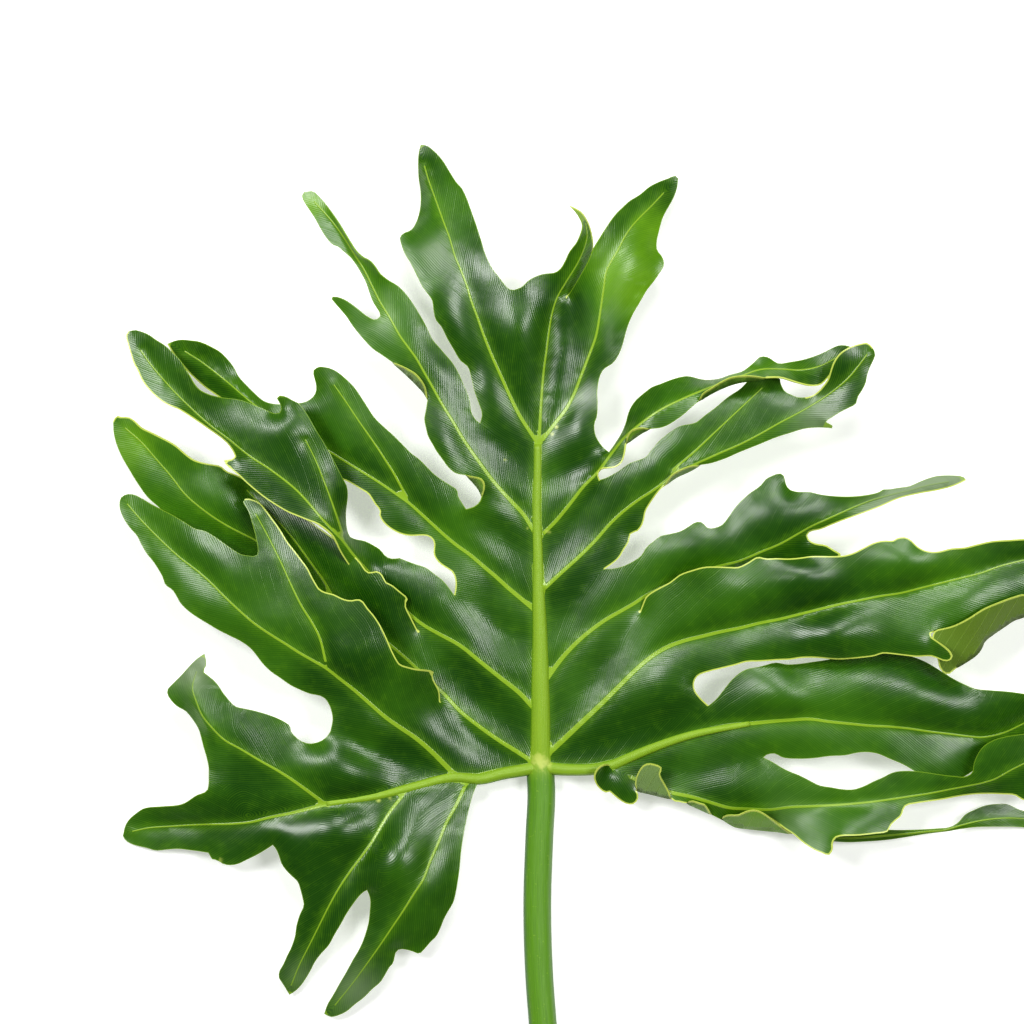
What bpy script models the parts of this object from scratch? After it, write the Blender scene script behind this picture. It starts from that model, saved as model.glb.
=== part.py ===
"""A lobed tree philodendron leaf on its cut stalk, laid down face up."""

import math

import bmesh
import bpy
import numpy as np
from mathutils.geometry import delaunay_2d_cdt

# Driving dimensions, in millimetres.
STALK_RADIUS = 7.0
STALK_CUT_Y = -250.0
BLADE_THICK = 0.95
VEIN_THICK = 2.4
FULL_VEIN = 1.8
LOWEST_TOP = 0.95
OUTLINE_TOLERANCE = 0.6
LONGEST_SEGMENT = 9.0
FILL_SPACING = 9.3
BULGE = 0.02
ROD_SIDES = 12
MM = 0.001

# Named places where outlines meet: x, y and height of the upper face.
NODES = {
    "J": (0, 4, 11), "A": (0.5, 16, 11.5), "B": (-0.2, 62, 16), "C": (-1, 105, 19),
    "D": (-1.3, 148, 21), "T": (-1, 166, 22), "Q": (-30, -2, 13), "F5": (-43, -1.2, 15),
    "QR": (36, 4.8, 14), "F6": (44, 8.3, 15), "S01": (-30, 176.5, 25), "S12": (-37, 133.3, 27),
    "S23": (-43, 90.5, 21), "S34": (-61, 72, 17), "S45": (-50, 37, 17), "S56": (-105, 22, 24),
    "S13": (13.5, 239.5, 24), "SC": (-13, 243, 32), "SR0": (34.5, 162, 27), "SR1": (30, 148, 26),
    "SR2": (32.5, 103.5, 22), "SR3": (50, 82, 21), "SR4": (84.5, 35, 23), "SR5": (112, 9, 21),
    "S67": (116, -22, 13), "S2m": (133, 189.3, 32), "S6ab": (-166.5, -7, 22),
    "S6bc": (-134, -35, 18), "S6cd": (-86.7, -57.5, 20), "tTL": (-60, 317, 0.9),
    "tTC": (15, 284.7, 42), "tTR": (69.5, 299.5, 12), "tL1": (-118.5, 292.5, 15),
    "tL2s": (-110, 204.7, 28), "tL2": (-187, 216.3, 16), "tL3": (-206.5, 222.5, 20),
    "tL4": (-214.2, 177.5, 15), "tL5s": (-147.5, 138.6, 30), "tL5": (-211, 137.5, 14),
    "tL6a": (-168, 61, 26), "tL6b": (-210, -31, 0.9), "tL6c": (-126, -111, 4),
    "tL6d": (-108.5, -120.5, 5), "tR1": (154, 211.5, 27), "tR2": (166, 214, 38),
    "tR3": (214, 148, 16), "tR4": (276, 112, 24), "tR5": (273, 36, 18), "tR6": (270, 21, 22),
    "tR7": (268, -27, 0.9), "K1": (-74, 207, 29), "K2": (-56.2, 188, 30),
    "K3": (-37, 150.5, 28), "K4": (-29, 139.5, 28), "K5": (207.5, 54, 34), "K6": (245, 81, 30),
    "K7": (62, 145, 29), "K8": (80.5, 155.6, 30), "K9": (43, 166, 34), "K10": (55, 173.6, 37),
    "K11": (79, 187.3, 40), "K12": (113, 199, 42), "E1": (35, -8.4, 15), "PA": (48.5, -7.9, 17),
    "PB": (66, -11.9, 18), "P1": (73.5, -14.1, 17), "P2": (86.8, -20.3, 15),
    "W": (91, -22.4, 14), "P3": (127, -29.7, 11),
}

# Lines between those places: the points passed on the way, then heights spaced evenly along.
CURVES = {
    "m1": ("J", "A", "0.3,10", ""),
    "m2": ("A", "B", "0.3,31 0.2,44", ""),
    "m3": ("B", "C", "-0.5,81 -0.6,89", ""),
    "m4": ("C", "D", "-1.2,121 -1.5,133", ""),
    "m5": ("D", "T", "", ""),
    "b1L": ("J", "Q", "-9,2.3 -18,0.8", "12 12.5"),
    "b2L": ("Q", "F5", "", ""),
    "b1R": ("J", "QR", "9,3 18,2.6 28,3", "12 12.5 13"),
    "b2R": ("QR", "F6", "", ""),
    "v01": ("D", "S01", "-10,155 -18,164 -25,171.5", "20 20.5 22"),
    "v12": ("C", "S12", "-10,111 -20,118 -30,126.5", "17.5 18.5 21"),
    "v23": ("B", "S23", "-12,68 -24,76.5 -34,83.5", "14.5 15 17"),
    "v34": ("A", "S34", "-12,22 -25,32 -36,43 -46,54 -54,64", "11 11 12 13 15"),
    "v45": ("J", "S45", "-10,7.5 -20,12.5 -30,18.5 -40,27", "10.5 10.5 11 13"),
    "v56": ("F5", "S56", "-56,2.5 -72,7 -88,13 -98,18.5", "14 15.5 18 21"),
    "vT3": ("T", "S13", "4,180 7.5,193 9.8,206 11.5,218 12.8,230", "20.5 20 20 20.5 21.5"),
    "vD": ("D", "SR0", "8,149.5 18,152.5 27,157.5", "20 21 23"),
    "vC": ("C", "SR1", "8,114.5 16,126.5 24,139", "18.5 19.5 22"),
    "vB": ("B", "SR2", "8,76 17,87.5 25,96.5", "16 16.5 18.5"),
    "vA": ("A", "SR3", "9,25 18,36.5 28,50 37,62.5 44,73", "13 14 15.5 17.5 19"),
    "vJ": ("J", "SR4", "10,8.8 22,13 36,17.5 52,23 68,29", "11.5 13 15 18 21"),
    "v6R": ("F6", "SR5", "52,5 62,2.5 74,1.2 88,3.3 100,6.3", "15 16 17 18.5 20"),
    "v67": ("W", "S67", "99,-23.6 107,-23.4", "13 13"),
    "tcR": (
        "S13", "tTC",
        "18,244 23,252 26,260 26.7,266 26,271 24,277 21,281.5 18,283.4",
        "22 23 25 29 34 38",
    ),
    "tcL": (
        "tTC", "SC",
        "18,281.5 20,278.5 21.3,275 20.5,271 18,266 14.5,261.5 12.5,257 10,253.2 7,251.5 3,251.2 "
        "-2,249.8 -6,247.5 -9,244.5",
        "41 39 36 33 31 30 31 32",
    ),
    "tlR": (
        "SC", "tTL",
        "-15.5,243.5 -18,246 -21,250 -24,254 -27,260 -29.5,268 -32,276 -35,284.5 -37,290 "
        "-39.5,295 -41.5,297 -45,302.5 -49,309 -52.5,313 -57,316.6",
        "31 29 26 22 18 13 8 4",
    ),
    "tlL": (
        "tTL", "S01",
        "-61,313 -61.3,307 -61,300 -60,293 -60,287 -61,281 -63,276 -65,273.5 -68.5,272 -70.3,270 "
        "-69.5,266 -67.5,261 -65,257 -62,251 -59,245 -56,241 -54,238 -53.2,232 -52,228 -49.5,225 "
        "-46.5,219 -43,213 -40,208 -36,204.5 -34.5,199.5 -33,193 -30.5,186 -29,181",
        "2 5 9 13 16 19 21 22 23 24 25",
    ),
    "trR": (
        "SR0", "tTR",
        "32,164 29.5,167 27.6,171 27.2,176 28.5,180 28.8,186 28.7,193 30,200 32,203.5 36.5,206.5 "
        "39,210 41,214.5 42.5,220 44.3,226 46.5,231 50,237 53.5,243 57,247.5 59.5,251 62,255 "
        "62,258 60.5,261 58.8,263 58.5,267 60,274 61.8,280 64.5,285 67,289.5 69,295",
        "27 27 26 25 24 24 24 23 22 20 17 14",
    ),
    "trL": (
        "tTR", "S13",
        "68,301 65,299.8 60,297.8 55,295.2 50,291 45,287.8 42,285 38,281 34,275.5 30,269 "
        "26.7,263.5 24,257 20,250 17,245",
        "14 18 23 28 32 34 35 34 30",
    ),
    "l1R": (
        "S01", "tL1",
        "-32,178 -34.5,182.5 -35,187 -36.5,192 -38.5,196.5 -41,202 -44,207 -47,210.5 -50,214 "
        "-53.5,218 -56,223 -58,227 -60,230.5 -63,235.5 -67,241 -71,245 -76,248 -80,251 -82,254 "
        "-85,257.5 -88.5,259.3 -92,262.5 -95,267 -98,272 -101,277 -105,283 -110,289.5 -114,293",
        "25 26 27 28 29 30 31 32 30 26 22 18",
    ),
    "l1a": (
        "tL1", "K1",
        "-119.5,290.5 -118,287 -116,284 -113,279.5 -110,274 -107,269.3 -104,266 -101,264.8 "
        "-98.5,262.5 -95,259.5 -92,255.5 -89,250.5 -87,246.5 -85.5,242 -83.5,237 -81,233 "
        "-79.8,230.5 -82,228.2 -85,229 -88,231 -91,233.5 -95,236.5 -99,238.8 -103,239.8 "
        "-104.7,239.3 -103,237 -100,233.5 -97,230 -94,225.5 -90.5,221 -87,217 -83.5,213.5 "
        "-79,210.5",
        "16 19 22 25 27 28 29 28 27 26 27 28",
    ),
    "l1f": ("K1", "K2", "-70,203.5 -65,199 -61,195 -57.5,191", "29 30 30"),
    "l1b": (
        "K2", "K3",
        "-57,183 -57.8,178.5 -57,174 -56,170 -53.5,165.5 -51.5,162 -48.5,158 -46,154.5 "
        "-42,151.3",
        "31 31 30 29",
    ),
    "l1g": ("K3", "K4", "-33,146.5 -30,142.5", "28 28"),
    "l1c": ("K4", "S12", "-30,137 -33,134.5", "27"),
    "l2U": (
        "S12", "tL2s",
        "-39,136.5 -41,140 -41.5,143 -45,145.5 -49,148 -53,151 -57,155 -60.5,158.5 -64.5,161.5 "
        "-68.5,165.5 -73,170 -78,174.5 -83,179.5 -86,184 -89.5,189.5 -93,194.5 -97.5,199 "
        "-102,202.5 -106,204.2",
        "26 27 27 28 28 28 28 29",
    ),
    "l2V": (
        "tL2s", "tL2",
        "-113,203.5 -113.5,201.5 -112.5,197.5 -112,193.5 -113,190.5 -115,188.5 -118,187 "
        "-124,186.3 -131,186 -136,186.7 -139,188 -143,191.5 -147,195.5 -151,200 -153,204 "
        "-156,208 -160,212 -165,214.8 -170,217 -175,217.9 -180,218.4 -184,217.6",
        "26 24 22 21 20 21 22 24 26 27 25 20",
    ),
    "l2L": (
        "tL2", "S23",
        "-184,211.5 -180,206.5 -176,201.8 -172,198 -168,194.5 -163,191 -157,187 -150,182 "
        "-140,174 -128,164.5 -115,155.5 -105,150.3 -98,148 -94,146 -90,143.5 -86,141 -84,138 "
        "-82,135 -80.2,133 -80.5,130.5 -79,127.5 -76,124.5 -72,122 -68,120.5 -64,120 -60,120.2 "
        "-56.5,120 -54,118.5 -53,116 -53.3,112.5 -53,110 -50.5,106.5 -47,104 -44,102 -42.5,98.5 "
        "-42.3,94.5",
        "18 20 21 20 19 19 20 22 23 24 24 24 23 22 22",
    ),
    "l3U": (
        "S23", "tL3",
        "-46,94.5 -49,98 -53,101 -57,104 -62,105.7 -67,107.5 -71,109 -73,108.5 -76,109 "
        "-78,110.5 -80,113 -83,115 -88,117.5 -92,118.3 -95,119.5 -96.5,123 -97,127 -97,132 "
        "-96.5,136 -96,140 -96.5,145 -98,148 -101,154 -104,160 -108,167 -112,173.5 -116,180.5 "
        "-119.7,185.7 -123.5,187.7 -127,189.5 -130,190 -131.3,188.8 -130,186.5 -129,184 "
        "-130,181.5 -133,181.3 -138,183.5 -143,185.5 -148,187.5 -153,188.5 -158,189 -162,189.7 "
        "-165,190.5 -170,193 -173,196.5 -175,200 -177.5,204 -180,208 -184,212 -188,215.5 "
        "-192,218 -196,220.8 -200,222.5 -203,223.2",
        "20 19 18 18 20 26 33 38 40 41 41 42 40 40 40 39 36 33 29 25",
    ),
    "l3L": (
        "tL3", "S34",
        "-207.5,220.5 -206.5,216 -205,211 -203.5,206.5 -201.5,203 -199.5,198.5 -197,194.8 "
        "-194,191.5 -190,188 -186,185.5 -181,183.5 -176,180.5 -170,176.5 -165,173 -160,169.5 "
        "-156,166 -153.5,162.5 -152.3,159.7 -154,158.3 -157.8,157.7 -156.5,155.5 -153,152.5 "
        "-150,150 -147,147 -143,143.5 -138,139.5 -132,135.5 -126,132 -120,129.5 -115,127.5 "
        "-112,126.5 -108,124 -104,120.5 -102,117 -100,112.5 -95,104.5 -88,96 -79,87 -70,79",
        "22 25 28 31 34 36 37 38 39 40 41 41 38 30 22 18 17",
    ),
    "l4U": (
        "S34", "tL4",
        "-64.5,79 -67.3,85.5 -66.2,88.8 -68,90.5 -71,93 -74,95.5 -77,97 -78.7,100.3 -81,102.4 "
        "-86,102 -90,107 -93,110 -97,112.5 -100,117 -104,119.5 -108,122.3 -112,125 -120,131 "
        "-130,138 -140,144 -148,148.5 -152,150.6 -157,152.5 -160,155 -165,156 -170,157 "
        "-174,158.5 -178,161.5 -182,165 -186,167.5 -190,169.5 -195,172 -200,174.5 -203,177.5 "
        "-206,179.5 -210,179.7 -212.5,180.3",
        "22 26 28 29 29 27 24 21 19 19 21 23 23 21 18",
    ),
    "l4L": (
        "tL4", "S45",
        "-214,172 -212.5,166 -210,160 -206,153 -203,148 -200,143.5 -197,139.5 -192,135 "
        "-184,128 -172,120 -160,112 -148,105 -135,97 -122,88 -108,77 -95,66 -82,56 -70,48.5 "
        "-60,42.5",
        "14 14 14 14 13 12 12 12 12 12 13 14 15 16",
    ),
    "l5U": (
        "S45", "tL5s",
        "-50.5,42.5 -52.5,46.5 -53.8,49.8 -53,51.7 -55,52.6 -58,53 -62,53.5 -66,54.5 -70,56 "
        "-72,59 -74,63 -77,70 -80,76 -83,80.5 -86,84 -89,88 -91,88.5 -94,88 -97,88.3 -100,89.5 "
        "-103,91 -107,92 -110,93.5 -112,96.5 -114,100 -116,104 -119,108 -122,112 -126,117 "
        "-130,123.5 -134,129 -137,133 -140,136.5 -143,138 -146,138.8",
        "24 31 35 37 38 38 38 38 37 35 33 31",
    ),
    "l5M": (
        "tL5s", "tL5",
        "-148.5,137 -146,133 -144,127 -142,120 -141,114 -141,111 -142.5,110 -146,110.3 "
        "-149,110.8 -153,113 -158,116.5 -163,120 -168,122.7 -172,123.5 -178,127 -184,130.5 "
        "-190,133.5 -195,136 -200,139 -204,140.8 -207,141 -210,139.6",
        "32 34 35 36 35 33 31 28 25 21 17",
    ),
    "l5L": (
        "tL5", "S56",
        "-211,134 -209,129 -206,124.5 -202,120 -200,116 -197,111 -194,107.5 -191,103 -189,99.5 "
        "-187.5,95.5 -184,93 -182,90 -180,86.5 -176,82.5 -171,79 -166,76 -161,73 -155,70 "
        "-150,67.5 -145,64 -142,60.5 -139,56.5 -135,52.5 -130,49 -125,45.5 -120,43 -115,41 "
        "-110,40 -107.5,38.5 -105.5,35.5 -104.3,32 -103.8,28",
        "16 18 20 22 24 26 27 28 28 28 28 28 28 27 26 25",
    ),
    "l6A": (
        "S56", "tL6a",
        "-107,19.3 -110,17.2 -115,16 -119,17 -122,19 -124.5,22 -125.3,25 -128,27 -132,29 "
        "-136,30.5 -141,32 -145,33 -149,33.8 -152,34.5 -154.5,36.5 -157,39.5 -159,42 "
        "-160.5,44.5 -163,47.5 -166,50 -168.7,52.3 -167,55.5",
        "23 23 23 24 24 25 26 27 27 27",
    ),
    "l6B": (
        "tL6a", "S6ab",
        "-170.5,59.5 -174,56.5 -180,50 -184,46 -186.7,43 -186.7,40.5 -184,36.5 -181,34 "
        "-178,32.5 -176,30.5 -173,26.5 -171,23 -169.5,18 -168.5,14 -167,9 -166,4 -166,0 "
        "-166,-4",
        "24 21 19 19 20 21 22 22",
    ),
    "l6C": (
        "S6ab", "tL6b",
        "-168,-8.6 -172,-10 -175,-12 -178,-14 -182,-15.3 -190,-16 -199,-17 -203,-19.5 "
        "-206.5,-22.5 -208.8,-26 -209.5,-29",
        "19 15 11 7 3",
    ),
    "l6D": (
        "tL6b", "S6bc",
        "-208.5,-33.5 -204.5,-35.5 -198,-37 -193,-38.3 -188,-37.8 -182,-37.3 -175,-38 "
        "-169,-38.8 -166,-39.5 -165.3,-42 -162,-43 -159,-44.7 -156,-45.3 -152,-44.8 -147,-42.5 "
        "-142,-40 -137,-37",
        "3 6 9 11 12 14 16",
    ),
    "l6E": (
        "S6bc", "tL6c",
        "-132.5,-36.8 -131,-40 -129.5,-44.5 -127,-48 -124,-51 -121.5,-53.5 -120,-58 -119,-62 "
        "-118.5,-65.5 -120.5,-70 -122.3,-76 -123,-81 -125,-87 -127,-91 -129,-95.5 -131,-99 "
        "-131.3,-102 -129.5,-105 -127.7,-108",
        "18 17 16 14 12 10 7",
    ),
    "l6F": (
        "tL6c", "S6cd",
        "-123,-109 -120,-106 -117,-101.5 -115,-98 -113,-94 -110,-90 -106,-85.5 -103,-80 "
        "-100,-75 -97,-69.5 -94,-65 -91,-61 -88.7,-58.7",
        "6 8 11 13 15 17 19",
    ),
    "l6G": (
        "S6cd", "tL6d",
        "-85.6,-60 -85,-63 -85.3,-68 -86,-74 -88,-81 -90.5,-87 -94,-93 -97.5,-99.5 -101,-105.5 "
        "-104,-111 -107,-116",
        "19 17 15 13 10 8",
    ),
    "l6H": (
        "tL6d", "Q",
        "-105,-122 -101,-121 -97,-119 -93,-115.5 -89,-112.5 -84,-107.5 -80,-104 -77.5,-100 "
        "-75.5,-96.5 -73.7,-94.5 -73,-91.5 -72,-88.5 -70,-87.5 -66,-88 -63,-89 -60.5,-89.8 "
        "-58,-87.5 -55,-84 -52,-81 -50,-77 -48,-72 -45.5,-67.5 -43.5,-64 -42,-58 -41,-52 "
        "-40.2,-46 -39.5,-38 -38.3,-30 -36.5,-21 -34.5,-13 -32.5,-7",
        "7 9 11 12 13 13 13 14 15 16 17 17 17 16 15",
    ),
    "r1a": ("SR1", "K9", "29,151 30.5,153.5 34,153.8 38,154.5 41,157 42.3,161", "30 32 33"),
    "r1f": ("K9", "K10", "47,169 51,171.7", "35 36"),
    "r1b": ("K10", "K11", "60,174 64,175.5 68,178 72,181 76,184.7", "37 38 39"),
    "r1g": (
        "K11", "K12",
        "85,191 90,193.5 95,195.5 100,196.8 104,197.3 109,198",
        "41 42 43 43",
    ),
    "r1c": (
        "K12", "tR1",
        "120,198.9 125,197.5 130,196 135,195 140,195.5 144,199 148.5,205",
        "40 37 34 31 29 28",
    ),
    "r1U": (
        "tR1", "SR0",
        "155.5,214.5 150,215.5 146,214 140,211 132,208.3 125,207 119,206.3 114,209.3 110,209.6 "
        "106,206 101,202.3 95,200.6 89,198.6 82,198.2 74,200 70,199.5 65,198 60,196 56,194.5 "
        "52,191.5 48,188 45.5,184.5 44,181 43,177 41,172 38,167",
        "27 27 28 30 32 34 35 34 32 30 29 29 29 28 28 28 27",
    ),
    "r2a": (
        "SR2", "K7",
        "37.5,107 40,109.5 42,113 44.5,117 45.5,121 49,122.5 51.5,126 52.3,129 53,132.5 55,136 "
        "57,139 60,143",
        "22 22 22 23 24 26",
    ),
    "r2f": ("K7", "K8", "68,149.3 75,152.5", "30 30"),
    "r2b": (
        "K8", "tR2",
        "85,156.3 92,158.5 100,162 110,166 118,169.3 125,171.5 132,173.6 138,174.2 143,174.1 "
        "146.5,173.9 146,175 142.5,177 146,179.5 150,182 154,184 157.5,186 158.5,189.5 "
        "160.5,192.5 162.5,196.5 163.2,200 165,205 166.5,208 167.3,211",
        "31 31 31 32 33 34 36 38 39 39 38",
    ),
    "r2M": (
        "tR2", "S2m",
        "163.5,216.4 160,216 155,214.5 151,212.3 148.5,210 146.3,206.5 145,203 143.5,198 "
        "141,194.5 139,192.3 136,190.2",
        "39 41 42 41 38 35",
    ),
    "r2U": (
        "S2m", "SR1",
        "129,189.3 126,190.5 122.5,192.3 120.5,196 120,198.6 117,199.8 112,199 107,198.5 "
        "104,197.3 100,193.5 94,189.5 88,184.5 82,180 78,176.8 75,176 70,175 65,172 60,168 "
        "56,163.5 53,159.7 50,158.2 45,156.5 40,153 34,149.5",
        "30 28 27 28 30 31 32 32 31 30 29 28 27",
    ),
    "r3L": (
        "SR3", "tR3",
        "60,87 70,92 82,97.5 95,101.5 109,104.5 122,105.5 134,106.5 144,107.5 150,109 "
        "151,110.6 149.5,111.6 147,113 143,115.4 139,116 136,117 134,119 133.8,121 136,122.4 "
        "140,123.2 145,125.2 150,127.2 160,130.8 170,134.5 180,138.8 190,141.2 200,143 "
        "208,145.2",
        "20 20 21 22 23 24 24 25 26 27 28 28 27 25 22 19 17",
    ),
    "r3U": (
        "tR3", "SR2",
        "212.5,149.6 210,150.2 200,150.2 195,149 190,147 185,144.9 180,144.2 175,143.4 "
        "172,143.2 170,142 165,140.6 158,139.7 150,139.7 140,140.8 135,142 128,142.2 "
        "124.5,143.5 123,146 122,150 120,151.3 117,150.5 113,148.5 110,145 105,141.5 101,138 "
        "97,133.5 94,129 91,125.5 87,124 84,124 82,126 80,127.2 77,126.5 74,124.5 70,122.3 "
        "65,121 60,119.8 57,117.5 53,114 51,110.5 47,107.5 42,105 37,103.7",
        "17 18 20 22 25 28 30 31 31 30 30 30 30 29 28 28 27 27 26 25 24 23",
    ),
    "r4U": (
        "SR3", "tR4",
        "51.5,86 53,89.5 56,92 60,94.3 65,97 70,100.8 76,103 82,104.6 88,104.8 94,104.6 "
        "99,104.6 104,107 108.5,109.6 113,108.8 118,109 124,108.8 130,109.3 135,110 145,110 "
        "151,110.2 156,111.5 161,114 166,116.5 171,117.8 176,117.8 178,119 182,119.5 185,118 "
        "188,115 192,112.8 198,112.2 205,113.8 212,114.3 218,115.8 226,117.5 234,118 242,118.5 "
        "252,118.5 262,117 270,114.5",
        "27 32 36 37 38 38 38 39 40 41 42 42 40 38 36 33 30",
    ),
    "r4a": (
        "SR4", "K5",
        "80.5,38.8 77.5,43 77.2,47 79,50 84,52 92,54 98,55.5 103,57 110,57.3 120,58 125,58.2 "
        "130,59 135,59.2 140,59 145,58.5 150,58.3 156,58.7 162,59.3 167,60 171,61.3 176,61 "
        "182,60.3 188,59.7 195,60 199,58.6 202,57.6 204.5,58.5 205.2,60.5 203.5,63 201,65.3 "
        "197.5,68 195,69.8 194.5,71.2 197,72.2 201,71 206,68 209,63 209.5,58",
        "25 27 29 30 31 32 33 33.5 34 34 35 36 38 45 49 42 37 34",
    ),
    "r4f": (
        "K5", "K6",
        "213,57.3 218,60.8 220.5,64 222,67.3 227,71.3 232,74.7 237,78 241,79.3",
        "34 33 32 31",
    ),
    "r4b": ("K6", "tR4", "252,84 260,91 268,100", "29 27 25"),
    "r5U": (
        "SR4", "tR5",
        "88,38 92,43 96,48 100,51.5 104,53.5 110,54.6 115,56 118,56.6 124,55.7 130,56 137,57 "
        "144,58 152,60 163,62 175,62 185,60 193,57 199,53.5 203,51 207,48.5 213,45.5 218,43.5 "
        "226,42.7 235,42 242,41 252,40 262,39",
        "25 26 26 25 24 23 22 22 22 22 23 24 25 25 24 22",
    ),
    "r5L": (
        "SR5", "tR5",
        "113,10 115,10.8 118,10.9 120,9.8 122,8.9 130,8.4 137,8.7 145,9.8 153,10.2 158,11.3 "
        "163,11.8 169,11 175,8.5 182,5.5 190,1 198,-1.5 206,-3 214,0 222,6 230,12 240,18 "
        "250,22 262,28",
        "22 23 24 24 24 24 23 21 18 16 15 15 16 16",
    ),
    "e0": ("QR", "E1", "36.5,0 36,-5", "16 16"),
    "lo1": (
        "QR", "E1",
        "34,5.6 31.5,5.2 29,3.5 27.4,1 27.1,-1.5 28.3,-4.8 30.5,-7.3 32.7,-8.8",
        "20 22 22 21 19 17 16",
    ),
    "lo2": ("E1", "PA", "38,-11 41,-13.3 44,-14.7 47,-14.6 49,-12.5 49.3,-10.3", "14 13 14 16"),
    "fA": ("PA", "PB", "54,-9 60,-10.5", "17 17"),
    "c1": ("PB", "P1", "67.2,-13 69,-13.4 71,-13.3 72.3,-14.4", "18 18"),
    "fB": ("P1", "P2", "80,-17", "16"),
    "c2": ("P2", "W", "", ""),
    "r6L": (
        "S67", "tR6",
        "119,-24 123,-27 127,-29.5 131,-33 137,-37 141,-38.6 144.5,-39.6 146.3,-37 146.3,-33.5 "
        "148,-30.7 160,-29.7 168,-28.9 174,-27.9 175.5,-25 178,-22.5 181,-20 182,-17 183.5,-15 "
        "188,-14 195,-13 202,-12 210,-10.5 218,-9.5 225,-9.3 232,-9.5 238,-10 242,-12.3 "
        "248,-12 254,-5 262,8",
        "18 24 28 30 30 28 26 24 23 22 21 21 21 21 22 22 22",
    ),
    "r6U": (
        "tR6", "SR5",
        "262,22.5 252,22.3 242,21 233,19.7 227,18 222,15 219,11 217,6 216.3,1.5 213,-0.6 "
        "208,-0.4 200,0.6 192,1.8 186,2.3 180,2.2 176,1.3 172,-0.8 167,-3 162,-5.5 157,-7 "
        "152,-7 146,-6 140,-5 135,-2.5 130,0 125,2 121,4 117,6.5",
        "24 27 30 31 30 28 26 25 25 25 24 24 23 23 22 22 21",
    ),
    "r7a": ("W", "P3", "95,-24.4 98,-26 101,-26.6 108,-27.4 118,-28.4", "13 12 12 11"),
    "r7b": (
        "P3", "tR7",
        "133,-31 140,-32.4 148,-33.6 155,-34 165,-33.6 175,-32.8 185,-31.3 195,-29.7 "
        "205,-28.6 213,-27.2 220,-26.4 230,-26.3 242,-26.6 256,-28",
        "10 9 8 8 8 8 7 7 6 4 2",
    ),
    "r7c": (
        "tR7", "S67",
        "262,-23 252,-20 242,-18 235,-14.9 230,-14.8 224,-15.6 218,-18 214,-20 210,-24.3 "
        "206,-26.4 200,-27 190,-27.6 176,-27.8 160,-27 145,-26 130,-24",
        "2 4 6 7 8 9 9 10 10 11 12",
    ),
    "l1fm": ("K1", "K2", "-71,206 -66,203.7 -62,201.2 -59,197.8 -57,194", "32 34 34 32"),
    "l1gm": ("K3", "K4", "-33,149.8 -29.5,149 -27.6,146.5 -27.6,143", "31 33 31"),
    "r1fm": ("K9", "K10", "43.3,169.7 45.3,172.8 50,174.3", "38 40 39"),
    "r1gm": (
        "K11", "K12",
        "81,191.3 85,193.8 90,197 95,199.3 100,200 106,200",
        "44 47 48 46",
    ),
    "r2fm": ("K7", "K8", "63.8,148.3 66,151 70,153.3 75,155.2", "33 35 35 33"),
    "r4fm": (
        "K5", "K6",
        "203.5,51 200.5,52.5 199,55 198.3,58.5 196.5,64 195.5,69.5 197,73 200.5,74 206,75.5 "
        "213,79 221,84 229,87.3 236,89.8 242,91 246,88",
        "37 40 41 42 43 44 44 43 42 40 36",
    ),
    "fAm": (
        "PA", "PB",
        "47.6,-4 48.2,-0.5 50,3.5 52,5.7 54,6.4 57,6.1 60,5 61.3,3.7 60.2,2 60.2,0.5 62,-3 "
        "64.5,-7.5",
        "21 25 28 29 28 26 23 20",
    ),
    "fBm": (
        "P1", "P2",
        "75,-12.7 77,-12.6 80,-13.6 82.5,-14.3 84.2,-16.3 85.7,-19",
        "19 21 21 19",
    ),
    "r7am": (
        "W", "P3",
        "91.6,-20.9 93.5,-19.8 96,-19.5 99,-19.5 101.5,-18.4 104,-17.4 108,-17 112,-18.6 "
        "118,-23 123,-27",
        "19 23 24 24 23 21 17 13",
    ),
}

# Each lobe is a closed loop of lines; a minus sign walks a line backwards.
PANELS = {
    "top": "vT3 tcR tcL tlR tlL -v01 m5",
    "top_right": "-m5 vD trR trL -vT3",
    "l1": "v01 l1R l1a l1f l1b l1g l1c -v12 m4",
    "l2": "v12 l2U l2V l2L -v23 m3",
    "l3": "v23 l3U l3L -v34 m2",
    "l4": "v34 l4U l4L -v45 m1",
    "l5": "v45 l5U l5M l5L -v56 -b2L -b1L",
    "l6": "v56 l6A l6B l6C l6D l6E l6F l6G l6H b2L",
    "r1": "vC r1a r1f r1b r1g r1c r1U -vD -m4",
    "r2": "vB r2a r2f r2b r2M r2U -vC -m3",
    "r3": "vA r3L r3U -vB -m2",
    "r4": "vJ r4a r4f r4b -r4U -vA -m1",
    "r5": "b1R b2R v6R r5L -r5U -vJ",
    "r6": "-b2R e0 lo2 fA c1 fB c2 v67 r6L r6U -v6R",
    "r7": "r7a r7b r7c -v67",
    "lobule": "-e0 lo1",
}

# Parts of the margin that are folded up and over, so that they show their underside.
FLAPS = {
    "fl1": "-l1f l1fm",
    "fl1g": "-l1g l1gm",
    "fr1": "-r1f r1fm",
    "fr1g": "-r1g r1gm",
    "fr2": "-r2f r2fm",
    "fr4": "-r4f r4fm",
    "fA": "-fA fAm",
    "fB": "-fB fBm",
    "fC": "-r7a r7am",
}

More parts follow.
